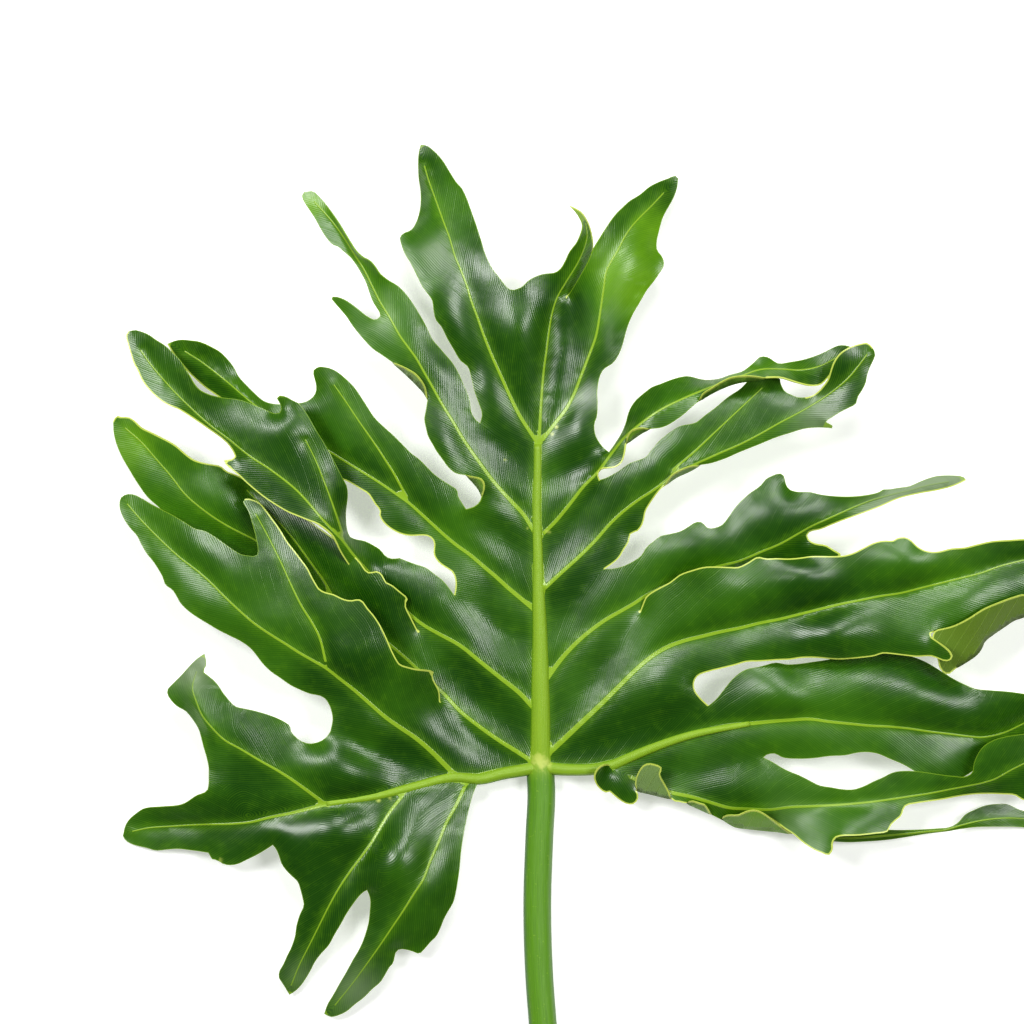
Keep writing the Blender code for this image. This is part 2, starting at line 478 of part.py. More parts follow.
# Main veins of each lobe: points, heights spaced evenly, half width at start and end.
VEINS = [
    ("top",
     "-3.5,170 -10,180 -15,190 -19.5,200 -24,210 -28,220 -31.5,230 -34.5,238 -36.5,245 "
     "-40,254 -42.5,260 -45.5,270 -48.5,278 -51,285 -53.5,292 -56,299 -58,306",
     "22 24 26 27 27 25 20 13 6", 1.2, 0.35),
    ("top",
     "-0.3,170 0.5,185 1.2,195 2.2,205 3.2,212 4.5,222 6,231 8.5,239 13,247 18,255 "
     "21.8,263 23.6,270 22.8,276",
     "22 23 24 25 25 26 28 32 37", 1.0, 0.3),
    ("top_right",
     "1.5,168.5 8,177 13,183.5 17,191 20.5,200 24,209 28,220 29.5,228 31,238 32,245 33,252 "
     "36,258 39,263 42,269 46,275 50,279.5 56,285.5 62,292",
     "22 22 23 25 27 29 30 31 30 27 22 17", 1.2, 0.35),
    ("l1",
     "-4,124 -8,130.5 -14,137 -20,143.5 -25,149.5 -29,155 -34,162 -39,169.5 -44,178 -49,186 "
     "-54,195 -58,202 -62,209 -66,214.5 -70,220 -75,229 -80,237 -84,245 -88,253 -93,261 "
     "-98,269 -103,276 -108,282 -113,287.5",
     "20 21 23 25 27 29 30 31 31 29 27 24 20 17", 1.3, 0.35),
    ("l2",
     "-4,84 -10,89 -16,94 -22,99.5 -28,104.5 -35,110.5 -42,115.5 -48,120.5 -54,126 -60,131.5 "
     "-65,136 -72,141 -80,146.5 -88,151.5 -101,159.5 -112,166.5 -122,173 -133,179.5 "
     "-144,186.5 -150,191.5 -157,197.5 -164,203 -170,207.5 -178,212.5",
     "17 18 19 21 22 23 24 24 23 22 21 22 24 26 24 19", 1.4, 0.35),
    ("l2",
     "-67,140 -73,151 -78,159 -84,168 -91,178 -97,187 -103,195.5",
     "24 26 27 28 28 29", 0.8, 0.3),
    ("l3",
     "-4,34.5 -10,41 -20,49 -30,57 -40,65 -50,70.5 -58,75 -64.5,80 -72,87.5 -80,95.5 "
     "-88,104.5 -94,111.5 -98,117 -103,122.5 -110,130 -115,136 -120,141.5 -125,146 -135,153.5 "
     "-145,160 -155,168 -165,175.5 -175,184.5 -185,194.5 -195,206 -200,213",
     "14 16 18 19 18 17 18 22 30 37 40 41 41 40 38 35 31 26 22", 1.5, 0.35),
    ("l3",
     "-98.8,121.5 -101.5,130 -105,140 -108,148 -112,158 -117,168",
     "33 38 41 41", 0.7, 0.3),
    ("l4",
     "-5,7.5 -12,12 -20,17 -30,24 -40,32 -47.5,40 -58,50 -70,61 -82,71 -92,80 -104,88 "
     "-125,105 -143,118 -150,121.5 -160,127 -170,134 -178,141 -185,150 -192,158 -200,167 "
     "-208,174",
     "12 13 14 15 16 18 19 19 18 18 19 20 19 18 16", 1.4, 0.35),
    ("l4",
     "-105,91.5 -108,97 -113,104 -118,111 -124,119 -130,126 -138,134 -147,143",
     "20 22 22 21 19 17", 0.8, 0.3),
    ("l5",
     "-46,3.5 -55,12.5 -62,18.5 -70,24 -77,29 -85,36 -93,43 -100,48.5 -107,54 -113,57.5 "
     "-120,61.5 -127,66 -135,71 -143,76.5 -150,82.5 -158,90 -165,97 -172,103 -180,109 "
     "-190,118 -200,128 -207,136",
     "16 19 22 26 29 31 33 34 34 33 31 28 24 20 16", 1.6, 0.35),
    ("l5",
     "-107.3,58 -110,69 -114,77 -119,85 -124,95 -129,106 -136,120 -142,131",
     "33 35 36 36 35 33 32", 0.8, 0.3),
    ("l6",
     "-46,-2 -50,-2.5 -60,-5 -70,-8 -80,-10 -90,-12 -100,-13.3 -107,-14.3",
     "16 17 18 19 20 21", 2.2, 1.4),
    ("l6",
     "-110,-12.5 -118,-6.5 -125,-1.5 -132,3 -140,7.5 -150,13.5 -158,18 -165,25 -169,30 "
     "-172,37 -174,44 -172,52",
     "22 24 26 27 27 26 25", 1.1, 0.35),
    ("l6",
     "-110,-15.2 -115,-16.5 -125,-19 -135,-21 -145,-23.5 -155,-24.5 -170,-25 -185,-26 "
     "-197,-27 -205,-28.7",
     "21 20 19 17 14 10 6 3", 1.1, 0.35),
    ("l6",
     "-69.5,-11 -75,-18 -80,-26 -84,-33 -89,-40 -95,-48 -101,-57 -106,-66 -111,-76 -116,-86 "
     "-121,-96 -125,-106",
     "19 20 20 19 18 16 13 10 7", 1.0, 0.3),
    ("l6",
     "-38,-6.5 -42,-15 -47,-24 -51,-34 -55,-43 -58.5,-52 -63,-59 -68,-67 -74,-76 -80,-85 "
     "-87,-95 -95,-106 -103,-116",
     "16 18 20 22 24 25 24 21 18 14 10 7", 1.1, 0.3),
    ("r1",
     "3,122.5 8,127.5 15,136 22,145 28,151 33,157.5 37,163 41.5,168.5 50,176 60,183 70,188 "
     "80,192.3 90,196.2 100,199.8 110,203.2 120,203.5 130,203 140,205 148,209",
     "20 22 24 27 30 33 35 37 38 39 39 38 36 33 30 28", 1.2, 0.35),
    ("r2",
     "2,93.5 10,101 20,110 28,118 35,126 42,132.5 50,138.5 57,143 64,148.5 68,152 75,154.8 "
     "90,161.5 100,165.8 110,171 120,176.7 130,182 140,188 148,193.7 154,199 159,205 "
     "163,210.5",
     "20 21 22 24 26 28 31 32 32 32 33 35 38 40", 1.3, 0.35),
    ("r2",
     "67,153.5 77,162 86,170.5 95,179 103,186.5 111,194",
     "29 31 32 32 31", 0.7, 0.3),
    ("r3",
     "3,47.5 9,56 14,62 20,68 26,73 33,78 40,82 47,86 53,90 60,93.5 70,98 80,102 90,105 "
     "100,107.5 110,111.8 120,116 128,120.5 136,125 145,129 155,133.5 165,137.5 175,140.5 "
     "185,142.8 195,145.5 205,147.2",
     "15 16 18 20 21 22 23 25 28 30 31 31 29 26 23 20 18", 1.5, 0.35),
    ("r4",
     "4,10.5 10,16 20,25.5 30,35 40,45 48,53 55,59 63,64 72,67.5 80,69.5 90,72 100,74 "
     "110,76.5 120,78.5 130,81 140,83.5 150,86 160,88 170,90 180,91.5 190,94 200,96.5 210,99 "
     "220,101.5 230,105 242,108 254,110.5 266,111.8",
     "12 14 17 20 23 25 27 29 31 32 33 34 35 36 36 35 33 30 27", 1.8, 0.4),
    ("r5",
     "47,9.6 55,13 65,17 75,20 85,23 95,25 105,26 115,27 125,27.8 135,28.3 145,27 155,26 "
     "165,25 175,24.5 185,23.5 195,22 205,20.8 215,19.5 222,19 232,21 245,27 258,32.5",
     "15 17 19 21 23 24 25 26 26 25 24 22 19 17 17 18", 1.8, 0.4),
    ("r6",
     "49,-2.5 58,-6.5 67,-9 75,-10.6 85,-13.5 95,-16.4 105,-17 115,-17.3 125,-16 135,-15.5 "
     "145,-15 155,-14.3 165,-13.3 175,-12 185,-10.5 195,-9 205,-7 215,-5 222,-3.5 228,-1.5 "
     "236,3 242,6 252,11.5 262,17.5",
     "16 17 18 18 18 19 20 21 22 23 23 23 24 26 27 27 25", 1.3, 0.35),
    ("r7",
     "133,-29.5 145,-31.5 155,-31.9 165,-31.4 175,-30.6 185,-29.7 195,-28.6 203,-28 212,-25.5 "
     "220,-23.5 232,-22 245,-22.5 257,-25",
     "10 9 9 9 9 8 7 5 3", 0.9, 0.3),
]

# Stalk, midrib and the two thick ribs at the foot of the blade: x, y, centre height, radius.
RODS = {
    "midrib": [
        (10, STALK_CUT_Y, STALK_RADIUS, STALK_RADIUS), (5, -180, STALK_RADIUS, STALK_RADIUS),
        (1.3, -124, STALK_RADIUS, STALK_RADIUS), (-0.15, -105, STALK_RADIUS, STALK_RADIUS),
        (-1.35, -64, STALK_RADIUS, STALK_RADIUS), (-0.3, -31, STALK_RADIUS, STALK_RADIUS),
        (0.65, -7, STALK_RADIUS, STALK_RADIUS), (0.3, 0, STALK_RADIUS, STALK_RADIUS),
        (0.3, 8, STALK_RADIUS, STALK_RADIUS), (0.4, 15, 9.0, 5.8), (0.4, 30, 10.9, 5.4),
        (0.2, 50, 13.0, 5.0), (0, 70, 15.1, 4.1), (-0.6, 90, 16.7, 3.5), (-1, 110, 18.3, 2.75),
        (-1.5, 130, 19.3, 2.5), (-1.2, 150, 20.3, 2.25), (-1, 166, 21.3, 2.0),
    ],
    "left_rib": [
        (0, 4, 9.0, 3.4), (-9, 2.3, 10.5, 3.3), (-18, 0.8, 11.2, 3.2), (-30, -2, 11.95, 3.0),
        (-43, -1.2, 14.0, 2.8), (-60, -5, 16.2, 2.5), (-80, -10, 18.0, 2.2),
        (-107, -14.3, 20.4, 1.8),
    ],
    "right_rib": [
        (0, 4, 9.0, 3.4), (9, 3, 10.6, 3.3), (18, 2.6, 11.3, 3.1), (28, 3, 11.9, 3.0),
        (36, 4.8, 13.0, 2.9), (44, 8.3, 14.0, 2.75), (55, 13, 15.3, 2.6), (75, 20, 18.9, 2.2),
        (105, 26, 23.2, 1.5),
    ],
}


def parse_points(text):
    """The x,y pairs of a written line as an array."""
    pairs = [pair.split(",") for pair in text.split()]
    return np.array([(float(x), float(y)) for x, y in pairs]).reshape(-1, 2)


def parse_heights(text):
    """The numbers of a written list."""
    return [float(value) for value in text.split()]


def spline(knots, values, where):
    """Smooth line through the values at the knots, read at the places in where."""
    gaps = np.diff(knots)
    slopes = np.diff(values, axis=0) / gaps[:, None]
    tangents = np.empty_like(values)
    tangents[0] = slopes[0]
    tangents[-1] = slopes[-1]
    if len(values) > 2:
        weight = (gaps[:-1] / (gaps[:-1] + gaps[1:]))[:, None]
        tangents[1:-1] = slopes[:-1] * (1.0 - weight) + slopes[1:] * weight
    index = np.clip(np.searchsorted(knots, where, side="right") - 1, 0, len(gaps) - 1)
    gap = gaps[index][:, None]
    t = (where[:, None] - knots[index][:, None]) / gap
    rise = values[index + 1] - values[index]
    ease = t * t * (3.0 - 2.0 * t)
    start = gap * tangents[index] * t * (1.0 - t) ** 2
    finish = gap * tangents[index + 1] * t * t * (t - 1.0)
    return values[index] + rise * ease + start + finish


def dense_line(points, heights, per_span=12):
    """A smooth line through the points, with heights spread evenly along its length."""
    spans = np.linalg.norm(np.diff(points, axis=0), axis=1)
    knots = np.concatenate([[0.0], np.cumsum(np.sqrt(spans))])
    places = [np.linspace(a, b, per_span, endpoint=False) for a, b in zip(knots, knots[1:])]
    flat = spline(knots, points, np.concatenate(places + [knots[-1:]]))
    steps = np.linalg.norm(np.diff(flat, axis=0), axis=1)
    arc = np.concatenate([[0.0], np.cumsum(steps)])
    levels = np.array(heights)[:, None]
    level_knots = np.linspace(0.0, arc[-1], len(levels))
    z = spline(level_knots, levels, arc)
    return np.hstack([flat, z]), arc


def thin_out(points, arc, tolerance, longest):
    """Keep the few points that hold the line within tolerance, and no gap over longest."""
    kept = {0, len(points) - 1}
    spans = [(0, len(points) - 1)]
    while spans:
        first, last = spans.pop()
        if last - first < 2:
            continue
        chord = points[last] - points[first]
        offsets = points[first + 1:last] - points[first]
        along = np.clip(offsets @ chord / max(chord @ chord, 1e-9), 0.0, 1.0)
        away = np.linalg.norm(offsets - along[:, None] * chord, axis=1)
        worst = int(np.argmax(away))
        if away[worst] > tolerance:
            split = first + 1 + worst
            kept.add(split)
            spans += [(first, split), (split, last)]
    kept = sorted(kept)
    result = [kept[0]]
    for first, last in zip(kept, kept[1:]):
        parts = max(1, math.ceil((arc[last] - arc[first]) / longest))
        marks = arc[first] + (arc[last] - arc[first]) * np.arange(1, parts) / parts
        result += [int(np.argmin(np.abs(arc - mark))) for mark in marks]
        result.append(last)
    return points[result]


class Sheet:
    """The upper face of the blade: shared points, fixed points and triangles."""

    def __init__(self):
        self.points = []
        self.fixed = []
        self.ribs = {}
        self.triangles = []
        self.node_index = {}
        self.curve_index = {}

    def add(self, point, fixed):
        self.points.append(tuple(float(value) for value in point))
        self.fixed.append(fixed)
        return len(self.points) - 1

    def add_nodes(self):
        for name, place in NODES.items():
            self.node_index[name] = self.add(place, True)

    def add_curves(self):
        for name, (start, end, inner, heights) in CURVES.items():
            first = np.array(NODES[start], dtype=float)
            last = np.array(NODES[end], dtype=float)
            flat = np.vstack([first[:2], parse_points(inner), last[:2]])
            levels = [first[2]] + parse_heights(heights) + [last[2]]
            line, arc = dense_line(flat, levels)
            line = thin_out(line, arc, OUTLINE_TOLERANCE, LONGEST_SEGMENT)
            middle = [self.add(point, True) for point in line[1:-1]]
            self.curve_index[name] = [self.node_index[start]] + middle + [self.node_index[end]]

    def loop(self, text):
        """Indices round a closed chain of lines, each corner once."""
        ring = []
        for word in text.split():
            chain = self.curve_index[word.lstrip("-")]
            if word.startswith("-"):
                chain = chain[::-1]
            ring += chain[:-1]
        return ring

    def add_vein(self, inner, heights, start_width, end_width):
        """A vein inside a lobe; returns its indices."""
        line, arc = dense_line(parse_points(inner), parse_heights(heights))
        line = thin_out(line, arc, OUTLINE_TOLERANCE, LONGEST_SEGMENT)
        chain = [self.add(point, True) for point in line]
        for place, index in enumerate(chain):
            share = place / (len(chain) - 1)
            self.ribs[index] = start_width + (end_width - start_width) * share
        return chain

    def fill(self, name, ring, chains, flipped):
        """Fill a loop with triangles that also follow its veins."""
        outline = np.array([self.points[index][:2] for index in ring])
        lines = [np.array([self.points[index][:2] for index in chain]) for chain in chains]
        inside = fill_points(outline, lines, FILL_SPACING)
        extra = [self.add((x, y, 0.0), False) for x, y in inside]
        order = ring + [index for chain in chains for index in chain] + extra
        place = {index: position for position, index in enumerate(order)}
        edges = [(place[a], place[b]) for chain in chains for a, b in zip(chain, chain[1:])]
        face = [place[index] for index in ring]
        flat = [self.points[index][:2] for index in order]
        result = delaunay_2d_cdt(flat, edges, [face], 1, 1e-5)
        new = [position for position, old in enumerate(result[3]) if not old]
        if new:
            spots = [tuple(round(value, 1) for value in result[0][position]) for position in new]
            raise ValueError(f"{name}: lines cross near {spots[:6]}")
        back = [order[old[0]] for old in result[3]]
        for triangle in result[2]:
            corners = [back[position] for position in triangle]
            if flipped:
                corners.reverse()
            self.triangles.append(corners)
        return extra


def inside_outline(points, outline):
    """True for the points that lie within the outline."""
    x, y = points[:, 0], points[:, 1]
    result = np.zeros(len(points), dtype=bool)
    for (x0, y0), (x1, y1) in zip(outline, np.roll(outline, -1, axis=0)):
        if y0 == y1:
            continue
        crosses = (y0 > y) != (y1 > y)
        result ^= crosses & (x < (x1 - x0) * (y - y0) / (y1 - y0) + x0)
    return result


def distance_to(points, line):
    """Distance from each point to the nearest part of a line."""
    nearest = np.full(len(points), 1e9)
    for start, end in zip(line[:-1], line[1:]):
        chord = end - start
        offset = points - start
        along = np.clip(offset @ chord / max(chord @ chord, 1e-12), 0.0, 1.0)
        away = np.linalg.norm(offset - along[:, None] * chord, axis=1)
        nearest = np.minimum(nearest, away)
    return nearest


def fill_points(outline, lines, spacing):
    """A staggered grid of points inside the outline, clear of it and of the veins."""
    low = outline.min(axis=0)
    high = outline.max(axis=0)
    row_height = spacing * math.sqrt(3.0) / 2.0
    rows = []
    first_row = math.floor(low[1] / row_height)
    for row in range(first_row, math.ceil(high[1] / row_height) + 1):
        shift = 0.5 * spacing * (row % 2)
        columns = np.arange(math.floor(low[0] / spacing), math.ceil(high[0] / spacing) + 1)
        rows.append(np.column_stack([columns * spacing + shift,
                                     np.full(len(columns), row * row_height)]))
    grid = np.vstack(rows)
    grid = grid[inside_outline(grid, outline)]
    closed = np.vstack([outline, outline[:1]])
    for line in [closed] + lines:
        if len(grid):
            grid = grid[distance_to(grid, line) > 0.55 * spacing]
    return grid


def relax(points, fixed, triangles, load):
    """Heights of the free points, drawn up gently between the fixed ones."""
    corners = np.array(triangles)
    pairs = np.vstack([corners[:, [0, 1]], corners[:, [1, 2]], corners[:, [2, 0]]])
    pairs = np.unique(np.sort(pairs, axis=1), axis=0)
    both = np.vstack([pairs, pairs[:, ::-1]])
    count = np.bincount(both[:, 0], minlength=len(points)).astype(float)
    free = ~np.array(fixed) & (count > 0)
    z = points[:, 2].copy()
    z[free] = 20.0
    reach = np.linalg.norm(points[both[:, 0], :2] - points[both[:, 1], :2], axis=1)
    square = np.bincount(both[:, 0], reach ** 2, minlength=len(points)) / np.maximum(count, 1.0)
    for _ in range(500):
        total = np.bincount(both[:, 0], z[both[:, 1]], minlength=len(points))
        mean = total / np.maximum(count, 1.0)
        z[free] = mean[free] + load * square[free] / 4.0
    return z


def build_sheet():
    """Points, thickness and triangles of the whole blade."""
    sheet = Sheet()
    sheet.add_nodes()
    sheet.add_curves()
    for name, text in PANELS.items():
        chains = [sheet.add_vein(*vein[1:]) for vein in VEINS if vein[0] == name]
        sheet.fill(name, sheet.loop(text), chains, False)
    for name, text in FLAPS.items():
        sheet.fill(name, sheet.loop(text)[::-1], [], True)
    points = np.array(sheet.points)
    points[:, 2] = relax(points, sheet.fixed, sheet.triangles, BULGE)
    points[:, 2] = np.maximum(points[:, 2], LOWEST_TOP)
    thickness = np.full(len(points), BLADE_THICK)
    for index, width in sheet.ribs.items():
        thickness[index] += (VEIN_THICK - BLADE_THICK) * min(width / FULL_VEIN, 1.0)
    return points, thickness, sheet.triangles


def vertex_normals(points, triangles):
    """Mean direction of the faces round each point."""
    corners = np.array(triangles)
    a, b, c = (points[corners[:, column]] for column in range(3))
    faces = np.cross(b - a, c - a)
    faces /= np.linalg.norm(faces, axis=1)[:, None]
    normals = np.zeros_like(points)
    for column in range(3):
        np.add.at(normals, corners[:, column], faces)
    return normals / np.maximum(np.linalg.norm(normals, axis=1)[:, None], 1e-9)


def thicken(points, thickness, triangles):
    """The blade as a closed solid: upper face, lower face and the cut rim."""
    used = sorted({index for triangle in triangles for index in triangle})
    renumber = {old: new for new, old in enumerate(used)}
    faces = [[renumber[index] for index in triangle] for triangle in triangles]
    top = points[used]
    lower = top - vertex_normals(top, faces) * thickness[used][:, None]
    lower[:, 2] = np.maximum(lower[:, 2], 0.0)
    count = len(top)
    directed = {(a, b) for face in faces for a, b in zip(face, face[1:] + face[:1])}
    rim = []
    for a, b in sorted(directed):
        if (b, a) not in directed:
            rim += [[b, a, a + count], [b, a + count, b + count]]
    under = [[index + count for index in reversed(face)] for face in faces]
    return np.vstack([top, lower]), faces + under + rim


def rod_mesh(path):
    """A tapering round rod with a flat lowest facet, closed at both ends."""
    values = np.array(path, dtype=float)
    steps = np.linalg.norm(np.diff(values[:, :2], axis=0), axis=1)
    knots = np.concatenate([[0.0], np.cumsum(steps)])
    count = max(2, round(knots[-1] / 9.0))
    where = np.unique(np.concatenate([knots, np.linspace(0.0, knots[-1], count)]))
    where = where[np.concatenate([[True], np.diff(where) > 2.5])]
    flat = spline(knots, values[:, :2], where)
    height = np.interp(where, knots, values[:, 2])
    radius = np.interp(where, knots, values[:, 3])
    centres = np.column_stack([flat, height])
    along = np.gradient(centres, where, axis=0)
    level = height == height[0]
    along[level, 2] = 0.0
    along /= np.linalg.norm(along, axis=1)[:, None]
    side = np.cross(along, (0.0, 0.0, 1.0))
    side /= np.linalg.norm(side, axis=1)[:, None]
    up = np.cross(side, along)
    half_step = math.pi / ROD_SIDES
    outer = radius / math.cos(half_step)
    vertices = []
    for ring in range(len(centres)):
        for corner in range(ROD_SIDES):
            angle = half_step * (2 * corner + 1) - math.pi / 2.0
            offset = side[ring] * math.cos(angle) + up[ring] * math.sin(angle)
            vertices.append(centres[ring] + outer[ring] * offset)
    faces = [list(range(ROD_SIDES))[::-1]]
    for ring in range(len(centres) - 1):
        for corner in range(ROD_SIDES):
            following = (corner + 1) % ROD_SIDES
            a = ring * ROD_SIDES + corner
            b = ring * ROD_SIDES + following
            faces.append([b, a, a + ROD_SIDES, b + ROD_SIDES])
    last = (len(centres) - 1) * ROD_SIDES
    faces.append([last + corner for corner in range(ROD_SIDES)])
    return np.array(vertices), faces


def make_object(name, vertices, faces, collection):
    """A mesh object in metres, its faces turned outwards."""
    mesh = bpy.data.meshes.new(name)
    mesh.from_pydata([tuple(vertex * MM) for vertex in vertices], [], faces)
    work = bmesh.new()
    work.from_mesh(mesh)
    bmesh.ops.recalc_face_normals(work, faces=work.faces[:])
    work.to_mesh(mesh)
    work.free()
    mesh.validate()
    body = bpy.data.objects.new(name, mesh)
    collection.objects.link(body)
    return body


def leaf_material():
    """Plain green leaf tissue."""
    material = bpy.data.materials.new("leaf_tissue")
    material.use_nodes = True
    shader = material.node_tree.nodes["Principled BSDF"]
    shader.inputs["Base Color"].default_value = (0.05, 0.18, 0.025, 1.0)
    shader.inputs["Roughness"].default_value = 0.42
    return material


def main():
    for old in list(bpy.data.objects):
        bpy.data.objects.remove(old, do_unlink=True)
    scene = bpy.context.scene
    parts = bpy.data.collections.new("philodendron_leaf")
    scene.collection.children.link(parts)
    joined = bpy.data.collections.new("joined_ribs")
    joined.hide_render = True
    scene.collection.children.link(joined)

    points, thickness, triangles = build_sheet()
    vertices, faces = thicken(points, thickness, triangles)
    leaf = make_object("leaf", vertices, faces, parts)
    leaf.data.materials.append(leaf_material())
    for name, path in RODS.items():
        rod_vertices, rod_faces = rod_mesh(path)
        rod = make_object(name, rod_vertices, rod_faces, joined)
        rod.hide_render = True
        rod.display_type = "WIRE"
        union = leaf.modifiers.new("join_" + name, "BOOLEAN")
        union.operation = "UNION"
        union.solver = "EXACT"
        union.object = rod


main()
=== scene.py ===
"""The visible tree philodendron leaf: waved blade, veins, pale margins and fleshy stalk."""

import math
from collections import Counter

import bpy
import numpy as np
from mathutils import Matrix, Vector
from mathutils.geometry import delaunay_2d_cdt


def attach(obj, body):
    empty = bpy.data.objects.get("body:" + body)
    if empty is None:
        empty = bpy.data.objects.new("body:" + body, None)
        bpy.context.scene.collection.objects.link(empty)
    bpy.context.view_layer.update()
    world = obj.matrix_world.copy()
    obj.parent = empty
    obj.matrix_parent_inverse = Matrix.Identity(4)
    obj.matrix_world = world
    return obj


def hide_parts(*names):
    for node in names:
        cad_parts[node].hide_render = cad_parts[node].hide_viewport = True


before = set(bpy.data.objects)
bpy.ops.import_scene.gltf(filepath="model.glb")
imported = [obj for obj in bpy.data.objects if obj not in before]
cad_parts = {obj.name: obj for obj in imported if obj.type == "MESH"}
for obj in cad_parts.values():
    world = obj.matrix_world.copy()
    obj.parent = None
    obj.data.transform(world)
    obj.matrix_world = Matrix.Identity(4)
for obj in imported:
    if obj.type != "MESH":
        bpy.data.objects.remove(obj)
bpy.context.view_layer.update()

# Driving dimensions, in millimetres.
STALK_RADIUS = 7.0
STALK_CUT_Y = -250.0
BLADE_THICK = 0.5
LOWEST_TOP = 0.95
LINE_STEP = 2.0
FILL_SPACING = 2.1
FILL_CLEARANCE = 0.55 * FILL_SPACING
BULGE = 0.034
BULGE_SWAY = 1.6
START_HEIGHT = 22.0
VEIN_ROOT = 4.5
BRANCH_ROOT = 1.2
VEIN_RELIEF = 0.35
VEIN_TAPER = 1.7
VEIN_SLIMNESS = 0.78
MAIN_VEIN = 0.9
STALK_NODE = (0.5, 6.0)
STRAND_REACH = 40.0
STRAND_OFFSET = 37.0
STRAND_SLANT = 1.7
STRAND_PITCH = 1.9
STRONG_PITCH = 9.5
ROD_STEP = 2.5
ROD_RIDGE = 0.012
ROD_LOWEST = 0.05

# Ripples of the blade: their pitch, how far they sway, and the pitch of the sway.
RIPPLE_X = (8.5, 2.0, 23.0)
RIPPLE_Y = (7.5, 1.5, 19.0)

# Counts and limits of the calculation.
ROD_SIDES = 40
SPLINE_PIECES = 12
RELAX_ROUNDS = 2500
SOFTEN_ROUNDS = 14
MERGE_DISTANCE = 1e-5
NO_LINE_GAP = 60.0
VERY_FAR = 1e6
MM = 0.001

# Camera: straight above the leaf, far off with a long lens.
PHOTO_WIDTH = 512.0
VIEW_CENTRE = (-14.0, 132.0)
LEAF_LEVEL = 30.0
LENS = 281.0
SENSOR = 36.0

# Light and floor. Soft boxes: name, place, width and height, power in watts.
SOFT_BOXES = [
    ("left_box", (-1200, 700, 2100), (600, 800), 34.0),
    ("right_box", (1250, 300, 2100), (500, 800), 24.0),
    ("top_box", (100, 1500, 2100), (800, 500), 24.0),
]
LIGHT_AIM = (0, 120, 20)
ROOM_LIGHT = 0.12
FLOOR_GLOW = 0.5
FLOOR_HALF = 4000.0

# Finish: roughness from and to, specular level, height of the bump.
TOP_FINISH = (0.27, 0.36, 0.52, 0.22)
UNDER_FINISH = (0.42, 0.55, 0.40, 0.30)
RIB_FINISH = (0.36, 0.48, 0.45, 0.35)
DULL_ROUGHNESS = 0.15

# Colours, linear light.
DEEP_GREEN = (0.007, 0.052, 0.0005, 1.0)
MID_GREEN = (0.038, 0.136, 0.002, 1.0)
BRIGHT_GREEN = (0.150, 0.330, 0.006, 1.0)
VEIN_GREEN = (0.270, 0.430, 0.025, 1.0)
MARGIN_CREAM = (0.500, 0.590, 0.110, 1.0)
UNDER_PALE = (0.210, 0.320, 0.100, 1.0)
UNDER_OLIVE = (0.120, 0.200, 0.018, 1.0)
RIB_YELLOW = (0.240, 0.390, 0.022, 1.0)
# Green of the rib sides: painted shade on the sides of the ribs, also the tint of their streaks.
RIB_SHADE_AND_STREAK = (0.120, 0.300, 0.006, 1.0)
STALK_GREEN = (0.105, 0.260, 0.007, 1.0)
# Dark green of the stalk sides: painted shade on the sides of the stalk, also the tint of its
# streaks.
STALK_SHADE_AND_STREAK = (0.024, 0.110, 0.002, 1.0)
NODE_PALE = (0.480, 0.560, 0.120, 1.0)
DULL_GREEN = (0.190, 0.260, 0.140, 1.0)
FLOOR_WHITE = (0.75, 0.75, 0.745, 1.0)

# Named places where outlines meet: x, y and height of the upper face.
NODES = {
    "J": (0, 4, 11), "A": (0.5, 16, 11.5), "B": (-0.2, 62, 16), "C": (-1, 105, 19),
    "D": (-1.3, 148, 21), "T": (-1, 166, 22), "Q": (-30, -2, 13), "F5": (-43, -1.2, 15),
    "QR": (36, 4.8, 14), "F6": (44, 8.3, 15), "S01": (-30, 176.5, 25), "S12": (-37, 133.3, 27),
    "S23": (-43, 90.5, 21), "S34": (-61, 72, 17), "S45": (-50, 37, 17), "S56": (-105, 22, 24),
    "S13": (13.5, 239.5, 24), "SC": (-13, 243, 32), "SR0": (34.5, 162, 27), "SR1": (30, 148, 26),
    "SR2": (32.5, 103.5, 22), "SR3": (50, 82, 21), "SR4": (84.5, 35, 23), "SR5": (112, 9, 21),
    "S67": (116, -22, 13), "S2m": (133, 189.3, 32), "S6ab": (-166.5, -7, 22),
    "S6bc": (-134, -35, 18), "S6cd": (-86.7, -57.5, 20), "tTL": (-60, 317, 0.9),
    "tTC": (15, 284.7, 42), "tTR": (69.5, 299.5, 12), "tL1": (-118.5, 292.5, 15),
    "tL2s": (-110, 204.7, 28), "tL2": (-187, 216.3, 16), "tL3": (-206.5, 222.5, 20),
    "tL4": (-214.2, 177.5, 15), "tL5s": (-147.5, 138.6, 30), "tL5": (-211, 137.5, 14),
    "tL6a": (-168, 61, 26), "tL6b": (-210, -31, 0.9), "tL6c": (-126, -111, 4),
    "tL6d": (-108.5, -120.5, 5), "tR1": (154, 211.5, 27), "tR2": (166, 214, 38),
    "tR3": (214, 148, 16), "tR4": (276, 112, 24), "tR5": (273, 36, 18), "tR6": (270, 21, 22),
    "tR7": (268, -27, 0.9), "K1": (-74, 207, 29), "K2": (-56.2, 188, 30),
    "K3": (-37, 150.5, 28), "K4": (-29, 139.5, 28), "K5": (207.5, 54, 34), "K6": (245, 81, 30),
    "K7": (62, 145, 29), "K8": (80.5, 155.6, 30), "K9": (43, 166, 34), "K10": (55, 173.6, 37),
    "K11": (79, 187.3, 40), "K12": (113, 199, 42), "E1": (35, -8.4, 15), "PA": (48.5, -7.9, 17),
    "PB": (66, -11.9, 18), "P1": (73.5, -14.1, 17), "P2": (86.8, -20.3, 15),
    "W": (91, -22.4, 14), "P3": (127, -29.7, 11),
}

